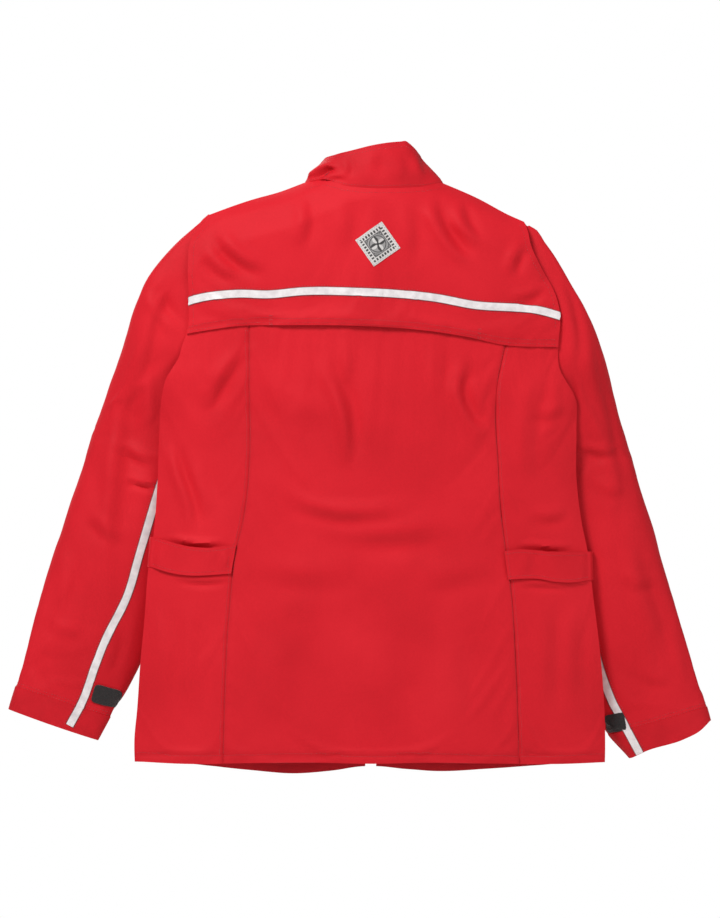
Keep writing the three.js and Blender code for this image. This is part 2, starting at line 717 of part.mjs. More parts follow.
// lower sleeve: a rounded head that turns inside the upper sleeve, then the full forearm
function lowerSleeve(hand) {
  const elbow = section(elbowDistance);
  const headDeep = elbow.deep - cloth - bendClearance;
  const headHalf = elbow.half - cloth - 3 * bendClearance;
  const heads = [-0.82, -0.6, -0.3, 0];
  const fores = [0.5, 60, 120, 170, 215, sleeveLength - elbowDistance - cuffLength - gap];
  return sheet(24, heads.length + fores.length - 1, (u, v, side) => {
    const turn = 2 * Math.PI * u;
    const index = Math.round(v * (heads.length + fores.length - 1));
    if (index < heads.length) {
      const radius = headDeep - side * cloth;
      const x = elbow.shift + Math.cos(turn) * (headHalf - side * cloth);
      const y = elbow.middle + Math.sin(turn) * radius * Math.sqrt(1 - heads[index] ** 2);
      const height = heads[index] * radius * Math.max(Math.abs(Math.sin(turn)), 0.12);
      return [-hand * x, y, -(elbowDistance + height + (index === heads.length - 1 ? side * cloth : 0))];
    }
    const fore = fores[index - heads.length];
    const step = index === heads.length ? side * cloth : 0;
    return around(hand, elbowDistance + fore + step, turn, side * cloth);
  }, true);
}

function cuff(hand) {
  return sheet(24, 1, (u, v, side) => {
    const s = lerp(sleeveLength - cuffLength, sleeveLength, v);
    return around(hand, s, 2 * Math.PI * u, side * cloth);
  }, true);
}

// strip laid on the sleeve's near (-1) or far (+1) face, between distances down it
function sleeveStrip(hand, face, fromS, toS, offsetAt, width, rows, columns) {
  return sheet(columns, rows, (u, v, side) => {
    const across = offsetAt(v) + (u - 0.5) * width;
    const s = lerp(fromS, toS, v);
    const { shift, half, middle, deep } = section(s);
    const rise = layerGap + (1 - side) * thinCloth;
    const share = Math.min(0.97, Math.abs((across - shift) / half));
    const y = middle + face * (deep * Math.sqrt(1 - share * share) + rise);
    return [-hand * across, y, -s];
  });
}

const patchTop = sleeveLength - cuffLength - patchWidth - 8;
for (const [side, hand] of [["left", -1], ["right", 1]]) {
  const group = sleeveGroup(side, hand);
  const offset = sleeveTapeOffset[side];
  const cuffOffset = offset - 16;
  add(`sleeve_upper_${side}`, upperSleeve(hand), shellRed, group);
  add(`sleeve_lower_${side}`, lowerSleeve(hand), shellRed, group);
  add(`cuff_${side}`, cuff(hand), shellRed, group);
  const upperTape = sleeveStrip(hand, -1, 150, elbowDistance - 4, () => offset, tapeWidth, 5, 2);
  add(`sleeve_tape_upper_${side}`, upperTape, tapeSilver, group);
  const lowerOffset = (v) => lerp(offset, cuffOffset, smooth(v));
  const lowerTape = sleeveStrip(
    hand, -1, elbowDistance + 3, sleeveLength - cuffLength - 1, lowerOffset, tapeWidth, 10, 2,
  );
  add(`sleeve_tape_lower_${side}`, lowerTape, tapeSilver, group);
  const patchEnd = patchTop + patchWidth;
  const patch = sleeveStrip(hand, -1, patchTop, patchEnd, () => patchOffset[side], patchLength, 2, 6);
  add(`cuff_loop_patch_${side}`, patch, hookBlack, group);
  const tabTopS = sleeveLength - cuffTabWidth - 1;
  const tab = sleeveStrip(hand, 1, tabTopS, tabTopS + cuffTabWidth, () => 0, cuffTabLength, 1, 6);
  add(`cuff_tab_${side}`, tab, shellRed, group);
}

// the origin comes under the hang loop's crown
jacket.position.set(-loopShift, -loopPlane, -(loopFoot + loopRise - thinCloth));

const scene = new THREE.Group();
scene.add(jacket);
export default scene;
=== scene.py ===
# %% [markdown]
# # A foul weather jacket, seen from the back
#
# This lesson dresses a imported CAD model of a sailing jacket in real-looking cloth. The CAD model
# holds the sizes, the bodies and the joints. Blender makes the fine surface: the folds, the seams,
# the stitches and the finishes. The first cell loads the model and keeps its box, because the cloth
# may only stand a little proud of it.

# %% Load the fixed frame
import math

import bpy
import numpy as np
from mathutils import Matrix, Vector
from mathutils.bvhtree import BVHTree


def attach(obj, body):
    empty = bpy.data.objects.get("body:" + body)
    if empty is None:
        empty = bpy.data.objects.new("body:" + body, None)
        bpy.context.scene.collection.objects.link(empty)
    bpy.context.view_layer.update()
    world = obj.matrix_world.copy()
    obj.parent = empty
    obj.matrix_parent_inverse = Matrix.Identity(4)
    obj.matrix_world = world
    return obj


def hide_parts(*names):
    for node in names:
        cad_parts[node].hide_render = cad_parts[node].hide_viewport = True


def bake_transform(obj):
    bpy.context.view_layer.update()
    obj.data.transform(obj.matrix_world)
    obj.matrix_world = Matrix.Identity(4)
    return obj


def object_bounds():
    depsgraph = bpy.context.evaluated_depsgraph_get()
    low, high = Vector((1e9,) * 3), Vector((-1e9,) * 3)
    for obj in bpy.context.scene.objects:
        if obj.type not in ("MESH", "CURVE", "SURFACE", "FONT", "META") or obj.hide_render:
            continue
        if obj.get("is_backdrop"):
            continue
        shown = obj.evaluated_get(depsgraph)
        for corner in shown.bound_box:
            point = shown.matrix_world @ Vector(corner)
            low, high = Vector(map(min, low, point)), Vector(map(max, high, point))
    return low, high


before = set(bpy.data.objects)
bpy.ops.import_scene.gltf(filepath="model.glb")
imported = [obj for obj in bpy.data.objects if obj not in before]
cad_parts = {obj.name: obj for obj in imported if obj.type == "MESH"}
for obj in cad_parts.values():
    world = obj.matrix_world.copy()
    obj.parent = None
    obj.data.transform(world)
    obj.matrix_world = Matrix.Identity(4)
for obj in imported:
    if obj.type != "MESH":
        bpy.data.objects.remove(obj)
cad_low, cad_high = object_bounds()
print("CAD box, metres:", [round(v, 3) for v in (*cad_low, *cad_high)])

# %% [markdown]
# ## Camera, floor and light
#
# A long lens several metres away shows a garment with hardly any perspective, as a shop's
# studio does. The light is soft: a bright room all round, one large panel above on the left
# that models the folds, and a weaker one on the right. The floor lies well below the hem.

# %% Camera
scene = bpy.context.scene
CAMERA_PLACE = (-0.018, -8.0, -0.366)
VIEW_HEIGHT = 1.189  # metres seen from top to bottom at the jacket
SENSOR = 36.0

camera_data = bpy.data.cameras.new("studio_camera")
camera_data.sensor_width = SENSOR
camera_data.lens = SENSOR * -CAMERA_PLACE[1] / VIEW_HEIGHT
camera = bpy.data.objects.new("studio_camera", camera_data)
camera.location = CAMERA_PLACE
camera.rotation_euler = (math.pi / 2, 0, 0)
scene.collection.objects.link(camera)
scene.camera = camera
print("lens, mm:", round(camera_data.lens, 1))

# %% Colours, nodes and a small material maker
scene.view_settings.view_transform = "Standard"


def linear(code, strength=1.0):
    """Turns an sRGB hex colour to the linear colour that Blender's sockets take."""
    channels = [int(code[i:i + 2], 16) / 255 for i in (0, 2, 4)]
    turned = [c / 12.92 if c <= 0.04045 else ((c + 0.055) / 1.055) ** 2.4 for c in channels]
    return (*[c * strength for c in turned], 1.0)


def add_node(tree, kind, settings=None, links=None):
    """Adds a node, sets its options and inputs, and links its inputs to other nodes' outputs."""
    made = tree.nodes.new(kind)
    for key, value in (settings or {}).items():
        if isinstance(key, str) and hasattr(made, key):
            setattr(made, key, value)
        else:
            made.inputs[key].default_value = value
    for key, source in (links or {}).items():
        tree.links.new(source, made.inputs[key])
    return made


def new_material(name, **sockets):
    """A material with one Principled shader, whose uniform values are set on its own sockets."""
    material = bpy.data.materials.new(name)
    material.use_nodes = True
    shader = material.node_tree.nodes["Principled BSDF"]
    for key, value in sockets.items():
        shader.inputs[key.replace("_", " ")].default_value = value
    return material, material.node_tree, shader


# %% Room and lights
world = bpy.data.worlds.new("white_room")
world.use_nodes = True
scene.world = world
room = world.node_tree
ROOM_LIGHT = 0.36
background = room.nodes["Background"]
background.inputs["Color"].default_value = (1, 1, 1, 1)
seen = add_node(room, "ShaderNodeLightPath")
level = add_node(room, "ShaderNodeMapRange", {"To Min": ROOM_LIGHT, "To Max": 1.0},
                 {"Value": seen.outputs["Is Camera Ray"]})
room.links.new(level.outputs["Result"], background.inputs["Strength"])


def soft_panel(name, place, target, size, power):
    """A square area light that looks at a point."""
    data = bpy.data.lights.new(name, "AREA")
    data.shape = "SQUARE"
    data.size = size
    data.energy = power
    lamp = bpy.data.objects.new(name, data)
    lamp.location = place
    lamp.rotation_euler = (Vector(target) - Vector(place)).to_track_quat("-Z", "Y").to_euler()
    scene.collection.objects.link(lamp)
    return lamp


MIDDLE = (0, 0.03, -0.36)
soft_panel("key_panel", (-1.15, -1.85, 1.5), MIDDLE, 0.9, 57)
soft_panel("fill_panel", (2.1, -2.0, 0.4), MIDDLE, 1.6, 16)
soft_panel("front_panel_light", (-1.4, 2.2, 1.4), MIDDLE, 1.4, 30)

floor_material, _, _ = new_material("painted_floor", Base_Color=linear("eceae6"), Roughness=0.7)
FLOOR_HEIGHT = -1.3
bpy.ops.object.select_all(action="DESELECT")
bpy.ops.mesh.primitive_plane_add(size=4.0, location=(0, -0.9, FLOOR_HEIGHT))
floor = bpy.context.object
floor.name = "studio_floor"
bpy.ops.object.transform_apply(location=True)
floor.data.materials.append(floor_material)
floor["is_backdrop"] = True

# %% [markdown]
# ## Places and smooth lines
#
# The jacket is laid out as a pattern cutter would: heights are millimetres above the back hem,
# widths are millimetres from the centre back, and depths go towards the back (negative) or the
# front. A few tables hold the outline, and a smooth curve runs through each.

# %% Measures of the body
MM = 0.001
SHIFT = np.array([-4.0, 21.8, -760.1])  # from pattern places to the hang loop's frame, mm
CLOTH = 1.3
THIN = 0.7
FRONT_FULL = 45.0
BACK_FULL = 34.0
SEAM_HALF = 1.8
FRONT_FACE = SEAM_HALF + FRONT_FULL

LEFT_SIDE = [(-20, -305), (0, -306.5), (30, -307), (68, -303.5), (133, -299), (185, -294), (250, -289),
             (289, -283), (354, -277.5), (432, -274.5), (470, -272), (490, -268), (506, -262), (517, -253),
             (540, -245), (560, -238), (605, -236), (645, -237), (679, -233), (711, -209), (730, -200)]
RIGHT_SIDE = [(-20, 303), (0, 304), (65, 303.5), (131, 299), (215, 289), (272, 282), (311, 274), (364, 267.5),
              (440, 267), (472, 266), (488, 258), (505, 247), (520, 243), (542, 243), (584, 245), (610, 238),
              (640, 222), (670, 208), (692, 203), (703, 199), (730, 192)]
SHOULDER = [(-270, 655), (-248, 673), (-231, 693), (-209, 711.5), (-152, 731.5), (-118, 741), (-86, 753),
            (0, 783), (92, 753), (140, 732), (177, 712), (215, 692), (241, 653), (270, 612)]


def smooth_value(table, at):
    """Value of a smooth curve through (place, value) pairs."""
    places, values = np.asarray(table, float).T
    slope = np.gradient(values, places)
    at = np.clip(at, places[0], places[-1])
    i = np.clip(np.searchsorted(places, at) - 1, 0, len(places) - 2)
    step = places[i + 1] - places[i]
    t = (at - places[i]) / step
    return ((2 * t**3 - 3 * t**2 + 1) * values[i] + (t**3 - 2 * t**2 + t) * step * slope[i]
            + (3 * t**2 - 2 * t**3) * values[i + 1] + (t**3 - t**2) * step * slope[i + 1])


def ease(t):
    t = np.clip(t, 0, 1)
    return t * t * (3 - 2 * t)


def line(points, count, rounded=True):
    """Evenly spaced points on a line through the given ones, smooth or straight between them."""
    points = np.asarray(points, float)
    chord = np.r_[0, np.cumsum(np.linalg.norm(np.diff(points, axis=0), axis=1))]
    fine = np.linspace(0, chord[-1], 40 * len(points))
    if rounded and len(points) > 2:
        path = np.stack([smooth_value(np.c_[chord, points[:, k]], fine) for k in range(points.shape[1])], 1)
    else:
        path = np.stack([np.interp(fine, chord, points[:, k]) for k in range(points.shape[1])], 1)
    run = np.r_[0, np.cumsum(np.linalg.norm(np.diff(path, axis=0), axis=1))]
    even = np.linspace(0, run[-1], count)
    return np.stack([np.interp(even, run, path[:, k]) for k in range(points.shape[1])], 1)


def body_depth(x, z, fullness, roundness):
    """How far the body's outer face stands from the plane between front and back."""
    left, right = smooth_value(LEFT_SIDE, z), smooth_value(RIGHT_SIDE, z)
    across = np.clip(np.abs(2 * x - left - right) / (right - left), 0, 1)
    roll = np.sqrt(np.clip((smooth_value(SHOULDER, x) - z) / 50, 0, 1))
    mouth = 17 * ease((z - 443) / 75)
    crown = (fullness - mouth) * (1 - across**2) ** roundness
    return SEAM_HALF + roll * (mouth + crown)


# %% [markdown]
# ## Folds
#
# Coated nylon keeps long soft creases from being folded and worn. Each crease is drawn where it
# runs, as a ridge with a hollow beside it that fade out at both ends. A quieter, seeded ripple
# goes over everything, and a pucker follows each seam where the thread draws the cloth in.

# %% Creases and ripples
def crease(x, z, points, width, height, hollow=0.7):
    """Height of one fold along a line: a ridge, and a hollow on the right as the line runs."""
    path = line(points, 24)
    if np.sum(path[-1] - path[0]) < 0:  # so that the ridge always lies on the lit side
        path = path[::-1]
    nearest = np.full(np.shape(x), 1e9)
    side = np.zeros(np.shape(x))
    along = np.zeros(np.shape(x))
    for i in range(len(path) - 1):
        start, step = path[i], path[i + 1] - path[i]
        length = np.hypot(*step)
        dx, dz = x - start[0], z - start[1]
        t = np.clip((dx * step[0] + dz * step[1]) / length**2, 0, 1)
        away = np.hypot(dx - t * step[0], dz - t * step[1])
        closer = away < nearest
        nearest = np.where(closer, away, nearest)
        side = np.where(closer, np.sign(step[0] * dz - step[1] * dx) * away, side)
        along = np.where(closer, (i + t) / (len(path) - 1), along)
    to_end = np.minimum(along, 1 - along)
    fade = ease(to_end / 0.28) * (0.25 + 0.75 * ease(to_end / 0.5))
    ridge = np.exp(-((side - 0.5 * width) / width) ** 2)
    dip = np.exp(-((side + 0.9 * width) / (0.9 * width)) ** 2)
    return height * fade * (ridge - hollow * dip)


def ripple(x, z, across, down, seed):
    """Soft noise between -1 and 1 with its own spacing across and down, from a seeded table."""
    table = np.random.default_rng(seed).uniform(-1, 1, (64, 64))
    total = 0
    for turn, share in ((0.35, 0.6), (1.15, 0.4)):
        a = (np.cos(turn) * x / across + np.sin(turn) * z / down) % 64
        b = (np.cos(turn) * z / down - np.sin(turn) * x / across + 17) % 64
        i, j = a.astype(int), b.astype(int)
        u, v = ease(a - i), ease(b - j)
        i1, j1 = (i + 1) % 64, (j + 1) % 64
        total = total + share * ((table[i, j] * (1 - u) + table[i1, j] * u) * (1 - v)
                                 + (table[i, j1] * (1 - u) + table[i1, j1] * u) * v)
    return total


def groove(distance, width=3.0, depth=0.7):
    """A seam's furrow."""
    return -depth * np.exp(-(distance / width) ** 2)


def pucker(distance, along, reach=13.0, height=0.55, seed=5):
    """Small gathers that a row of stitches draws up on both sides of it."""
    return height * ripple(along, distance, 7.0, 26.0, seed) * np.exp(-(distance / reach) ** 2)


BACK_CREASES = [
    ([(-64, 556), (-52, 502), (-34, 466), (-27, 420), (-30, 360)], 11, 4.4, 0.9),
    ([(-34, 560), (-26, 520), (-40, 480)], 12, 1.8, 0.7),
    ([(-152, 498), (-122, 472), (-78, 450), (-42, 428)], 19, 2.6, 0.8),
    ([(-128, 364), (-90, 337), (-46, 325), (14, 324), (70, 330)], 12, 3.0, 0.9),
    ([(129, 542), (121, 512), (114, 486), (127, 451), (150, 425), (172, 408)], 9, 3.6, 1.0),
    ([(84, 546), (86, 505), (98, 470)], 12, 1.8, 0.7),
    ([(-40, 300), (30, 296), (110, 306)], 16, 1.6, 0.9),
    ([(-150, 350), (-80, 318), (-10, 300), (60, 296), (150, 300)], 20, 1.8, 0.8),
    ([(-168, 262), (-120, 246), (-60, 240), (0, 244)], 16, 1.6, 0.8),
    ([(168, 256), (110, 240), (50, 236)], 16, 1.5, 0.8),
    ([(-120, 180), (-112, 110), (-116, 40)], 22, 1.6, 0.8),
    ([(10, 200), (22, 110), (14, 20)], 26, 1.5, 0.8),
    ([(118, 190), (110, 110), (120, 30)], 22, 1.6, 0.8),
    ([(-158, 544), (-188, 508), (-203, 480), (-212, 440)], 10, 3.0, 0.9),
    ([(-264, 430), (-249, 378), (-234, 335), (-228, 286)], 8, 3.6, 0.9),
    ([(-225, 400), (-216, 360), (-198, 320)], 12, 1.6, 0.8),
    ([(-270, 293), (-240, 286), (-216, 284), (-184, 286)], 4.5, 2.6, 0.9),
    ([(-176, 240), (-214, 236), (-262, 241)], 5, 1.8, 0.9),
    ([(182, 281), (214, 281), (240, 279), (270, 280)], 4.5, 2.0, 0.9),
    ([(184, 233), (214, 232), (262, 229)], 5, 1.6, 0.9),
    ([(236, 520), (214, 486), (203, 430), (210, 350)], 12, 2.8, 0.9),
    ([(258, 468), (232, 452), (206, 455)], 9, 1.6, 0.9),
    ([(262, 330), (232, 318), (200, 326)], 9, 1.5, 0.8),
    ([(-282, 225), (-262, 150), (-268, 60)], 14, 2.0, 0.8),
    ([(-222, 235), (-232, 140), (-226, 40)], 15, 1.8, 0.8),
    ([(278, 220), (262, 150), (270, 60)], 14, 2.0, 0.8),
    ([(222, 232), (232, 150), (224, 40)], 15, 1.8, 0.8),
]
YOKE_CREASES = [
    ([(78, 742), (86, 705), (108, 668), (140, 640)], 9, 3.2, 0.9),
    ([(112, 736), (122, 702), (146, 668)], 8, 2.2, 0.9),
    ([(-205, 700), (-186, 668), (-158, 646), (-128, 636)], 9, 3.0, 0.9),
    ([(-222, 668), (-196, 640), (-168, 624)], 8, 2.0, 0.9),
    ([(-92, 742), (-84, 705), (-96, 660)], 10, 2.0, 0.8),
    ([(-40, 738), (-30, 700), (-34, 655)], 13, 1.4, 0.8),
    ([(205, 680), (188, 655), (180, 625)], 8, 2.2, 0.9),
    ([(232, 622), (205, 606), (176, 602)], 7, 1.5, 0.9),
    ([(40, 735), (52, 690), (48, 640)], 12, 1.6, 0.8),
]


def princess(z, hand):
    """Place of the curved seam between a centre and a side panel."""
    if hand < 0:
        return smooth_value([(0, -191), (82, -189), (198, -183), (281, -173), (315, -165), (430, -156),
                             (473, -157), (562, -157), (600, -157)], z)
    return smooth_value([(0, 192), (131, 187), (215, 182), (278, 174), (325, 168), (394, 164), (446, 161),
                         (497, 164), (540, 173), (580, 178)], z)


YOKE_LOW = [(-242, 556), (-229, 558), (-172, 566), (-109, 567), (-14, 566), (87, 558), (129, 551), (170, 542),
            (243, 539)]


def yoke_low(x):
    return smooth_value(YOKE_LOW, x)


def folds(x, z, creases):
    return sum(crease(x, z, *c) for c in creases)


def back_surface(x, z):
    """Outer face of the back panels, as points."""
    lift = body_depth(x, z, BACK_FULL, 0.75) + 1.7 * folds(x, z, BACK_CREASES)
    for hand in (-1, 1):
        away = x - princess(z, hand)
        lift = lift + groove(away) + pucker(away, z)
    hem = z - 11
    lift = lift + groove(hem, 2.2, 0.8) + pucker(hem, x, 16, 0.8, 9)
    lift = lift + 1.3 * ripple(x, z, 55, 90, 1) + 0.35 * ripple(x, z, 17, 24, 2)
    lift = lift + 2.2 * ease((120 - z) / 120) * ripple(x, z, 62, 400, 3)
    edge = np.minimum(x - smooth_value(LEFT_SIDE, z), smooth_value(RIGHT_SIDE, z) - x)
    hold = ease(edge / 22)
    base = body_depth(x, z, BACK_FULL, 0.75)
    lift = base + (lift - base) * (0.2 + 0.8 * hold)
    return np.stack([x, -lift, z], -1)


def yoke_surface(x, z):
    """Outer face of the yoke, which hangs over the panels and stands off them at its vent."""
    base = body_depth(x, z, BACK_FULL, 0.75) + 2.7
    above = z - yoke_low(x)
    vent = ease((146 - np.abs(x - 4)) / 30)
    stand = vent * (2.4 + 1.4 * ripple(x, 0 * z, 60, 60, 12)) * ease((36 - above) / 36)
    lift = base + 2.1 * folds(x, z, YOKE_CREASES) + stand
    lift = lift + groove(above - 7, 1.6, 0.5) + pucker(above - 6, x, 10, 0.8, 8)
    lift = lift + pucker(z - tape_height(x), x, 14, 0.45, 7)
    lift = lift + 1.0 * ripple(x, z, 48, 66, 21) + 0.3 * ripple(x, z, 15, 18, 22)
    at_seam = ease((smooth_value(SHOULDER, x) - z - 1) / 16)
    closed = body_depth(x, z, BACK_FULL, 0.75) - 0.9
    base, lift = closed + (base - closed) * at_seam, closed + (lift - closed) * at_seam
    left, right = smooth_value(LEFT_SIDE, z), smooth_value(RIGHT_SIDE, z)
    side = np.minimum(x - left, right - x)
    lift = base + (lift - base) * (0.35 + 0.65 * ease(side / 20)) + pucker(side - 4, z, 9, 0.5, 6)
    return np.stack([x, -lift, z], -1)


TAPE_LINE = [(-242, 597), (-224, 602), (-172, 608), (-133, 607), (-88, 611), (-14, 610), (87, 602), (129, 594),
             (225, 585), (246, 579)]


def tape_height(x):
    return smooth_value(TAPE_LINE, x)


# %% [markdown]
# ## Cloth pieces
#
# Every cloth piece starts as a grid of points about 4 mm apart, filled between its four cut
# edges, so that its faces run with the grain as woven threads do. Its UV map holds millimetres
# on the cloth, so a weave keeps its scale on every piece. Then a short cloth simulation, with
# the sewn edges held, lets the surplus cloth buckle into small folds of its own, and Solidify
# gives the sheet its thickness.

# %% Grids, thickness and the simulation
def fill(low, high, inner, outer):
    """Places inside four edge lines; low and high share a count, and so do inner and outer."""
    u = np.linspace(0, 1, len(low))[None, :, None]
    v = np.linspace(0, 1, len(inner))[:, None, None]
    ruled = (1 - v) * low[None] + v * high[None] + (1 - u) * inner[:, None] + u * outer[:, None]
    corners = (1 - v) * ((1 - u) * low[0] + u * low[-1]) + v * ((1 - u) * high[0] + u * high[-1])
    return ruled - corners


def build_mesh(name, points, flat, outward, closed=False):
    """A mesh of quads over a grid of points in pattern places. outward(centre) gives the way out."""
    rows, columns = points.shape[:2]
    index = np.arange(rows * columns).reshape(rows, columns)
    if closed:
        index = np.c_[index, index[:, :1]]
        once_round = (flat[0, -1, 0] - flat[0, 0, 0]) * columns / (columns - 1)
        flat = np.concatenate([flat, flat[:, :1] + [[once_round, 0]]], 1)
    quads = np.stack([index[:-1, :-1], index[:-1, 1:], index[1:, 1:], index[1:, :-1]], -1).reshape(-1, 4)
    places = (points.reshape(-1, 3) + SHIFT) * MM
    corners = places[quads]
    normal = np.cross(corners[:, 2] - corners[:, 0], corners[:, 3] - corners[:, 1])
    flat_rows, flat_columns = flat.shape[:2]
    flat_index = np.arange(flat_rows * flat_columns).reshape(flat_rows, flat_columns)
    flat_quads = np.stack([flat_index[:-1, :-1], flat_index[:-1, 1:],
                           flat_index[1:, 1:], flat_index[1:, :-1]], -1).reshape(-1, 4)
    if np.sum(normal * outward(corners.mean(1))) < 0:
        quads, flat_quads = quads[:, ::-1], flat_quads[:, ::-1]
    mesh = bpy.data.meshes.new(name)
    mesh.from_pydata(places.tolist(), [], quads.tolist())
    uv = mesh.uv_layers.new(name="cloth")
    uv.data.foreach_set("uv", (flat.reshape(-1, 2)[flat_quads.ravel()] * MM).ravel())
    mesh.polygons.foreach_set("use_smooth", [True] * len(quads))
    piece = bpy.data.objects.new(name, mesh)
    scene.collection.objects.link(piece)
    return piece


def grid_size(points):
    """Mean width and length of a grid of points, and its area, in metres and square metres."""
    wide = np.linalg.norm(np.diff(points, axis=1), axis=2)
    tall = np.linalg.norm(np.diff(points, axis=0), axis=2)
    diagonals = points[1:, 1:] - points[:-1, :-1], points[1:, :-1] - points[:-1, 1:]
    area = np.sum(np.linalg.norm(np.cross(*diagonals), axis=2)) / 2
    width, length = wide.sum(1).max() * MM, tall.sum(0).max() * MM
    return width, length, min(area * MM * MM, 0.999 * width * length)


def coordinates(mesh):
    found = np.empty(len(mesh.vertices) * 3)
    mesh.vertices.foreach_get("co", found)
    return found.reshape(-1, 3)


KEPT_SHARE = 0.5  # of the simulated movement
INWARD_LIMIT = 0.8  # mm that the cloth may sink


def settle(piece, sewn, swell=0.02, puff=0.4, cap=6.0, frames=16, stiff=0.6):
    """Lets the cloth, cut a little larger than its place, buckle between its sewn points."""
    group = piece.vertex_groups.new(name="sewn")
    group.add([int(i) for i in sewn], 1.0, "REPLACE")
    before = coordinates(piece.data)
    cloth = piece.modifiers.new("cloth", "CLOTH")
    cloth.settings.quality = 5
    cloth.settings.mass = 0.2
    cloth.settings.tension_stiffness = 20
    cloth.settings.compression_stiffness = 20
    cloth.settings.shear_stiffness = 8
    cloth.settings.bending_stiffness = stiff
    cloth.settings.vertex_group_mass = "sewn"
    cloth.settings.shrink_min = -swell
    cloth.settings.use_pressure = True
    cloth.settings.uniform_pressure_force = puff
    cloth.settings.effector_weights.gravity = 0.4
    cloth.collision_settings.use_collision = False
    cloth.point_cache.frame_end = frames + 1
    for step in range(1, frames + 1):
        scene.frame_set(step)
    shown = piece.evaluated_get(bpy.context.evaluated_depsgraph_get())
    after = coordinates(shown.data)
    moved = KEPT_SHARE * (after - before)
    reach = np.linalg.norm(moved, axis=1)
    moved *= (np.minimum(reach, cap * MM) / np.maximum(reach, 1e-9))[:, None]
    outward = np.array([v.normal[:] for v in piece.data.vertices])
    rise = np.sum(moved * outward, axis=1, keepdims=True)
    moved += outward * np.maximum(-INWARD_LIMIT * MM - rise, 0)  # no lining shows through
    piece.modifiers.remove(cloth)
    piece.vertex_groups.remove(group)
    piece.data.vertices.foreach_set("co", (before + moved).ravel())
    piece.data.update()
    scene.frame_set(1)
    print(piece.name, "settled, mm:", round(float(reach.mean() / MM), 2), round(float(reach.max() / MM), 1))


def apply_all(piece):
    bpy.context.view_layer.objects.active = piece
    for modifier in list(piece.modifiers):
        with bpy.context.temp_override(object=piece, active_object=piece):
            bpy.ops.object.modifier_apply(modifier=modifier.name)


def thicken(piece, thickness=CLOTH):
    """Gives a sheet its wall on the inner side."""
    wall = piece.modifiers.new("wall", "SOLIDIFY")
    wall.thickness = thickness * MM
    wall.offset = -1
    apply_all(piece)
    bpy.ops.object.select_all(action="DESELECT")
    piece.select_set(True)
    bpy.context.view_layer.objects.active = piece
    bpy.ops.object.shade_smooth_by_angle(angle=math.radians(55))
    piece.select_set(False)


def tree_of(piece):
    """A search tree over a piece's faces, to lay tapes, tabs and stitches on it."""
    mesh = piece.data
    return BVHTree.FromPolygons([v.co[:] for v in mesh.vertices], [p.vertices[:] for p in mesh.polygons])


def lay_on(points, trees, lift):
    """Moves points in pattern places onto the nearest cloth face, and out from it by lift."""
    laid = []
    for place in (np.asarray(points).reshape(-1, 3) + SHIFT) * MM:
        hits = [t.find_nearest(Vector(place)) for t in trees]
        spot, normal = min((h for h in hits if h[0]), key=lambda h: h[3])[:2]
        laid.append(np.array(spot + normal * lift * MM) / MM - SHIFT)
    return np.array(laid).reshape(np.shape(points))


def towards_back(_):
    return np.array([0.0, -1.0, 0.0])


def towards_front(_):
    return np.array([0.0, 1.0, 0.0])


def finish_cloth(piece, material, slot, nodes, size, held="hung", body="torso", blend=None):
    """Gives a cloth piece its finish and hides the CAD parts it stands for; it ties the piece to its body, or
    bakes its place into the mesh when given a blend, and prints its cut size.
    """
    piece.data.materials.clear()
    piece.data.materials.append(material)
    if nodes:
        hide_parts(*nodes)
    if blend:
        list(blend)
        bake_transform(piece)
    else:
        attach(piece, body)
    width, length, area = size
    print(piece.name, "cut size, mm:", round(width / MM), "x", round(length / MM))


# %% [markdown]
# ## Finishes
#
# The shell is plain-woven nylon with a coated back. It's matt with a faint sheen, its colour
# drifts a little from panel to panel, and years of wear leave it duller near the hem. The weave's
# threads are about 0.3 mm wide, too fine to see, so they're drawn at 1.5 mm.

# %% Shell cloth
def woven_bump(tree, spacing, depth, grain=None):
    """Bump of two crossing rows of threads, on the cloth's own map."""
    place = add_node(tree, "ShaderNodeUVMap", {"uv_map": "cloth"})
    waves = []
    for direction in ("X", "Y"):
        waves.append(add_node(tree, "ShaderNodeTexWave", {
            "wave_type": "BANDS", "bands_direction": direction, "wave_profile": "SIN",
            "Scale": math.pi / 10 / (spacing * MM) , "Distortion": 0.6, "Detail": 1.0, "Detail Scale": 2.0,
        }, {"Vector": place.outputs["UV"]}))
    woven = add_node(tree, "ShaderNodeMath", {"operation": "MULTIPLY"},
                     {0: waves[0].outputs["Fac"], 1: waves[1].outputs["Fac"]})
    height = woven.outputs[0]
    if grain is not None:
        height = add_node(tree, "ShaderNodeMath", {"operation": "ADD"}, {0: height, 1: grain}).outputs[0]
    return add_node(tree, "ShaderNodeBump", {"Strength": depth, "Distance": 0.4 * MM}, {"Height": height})


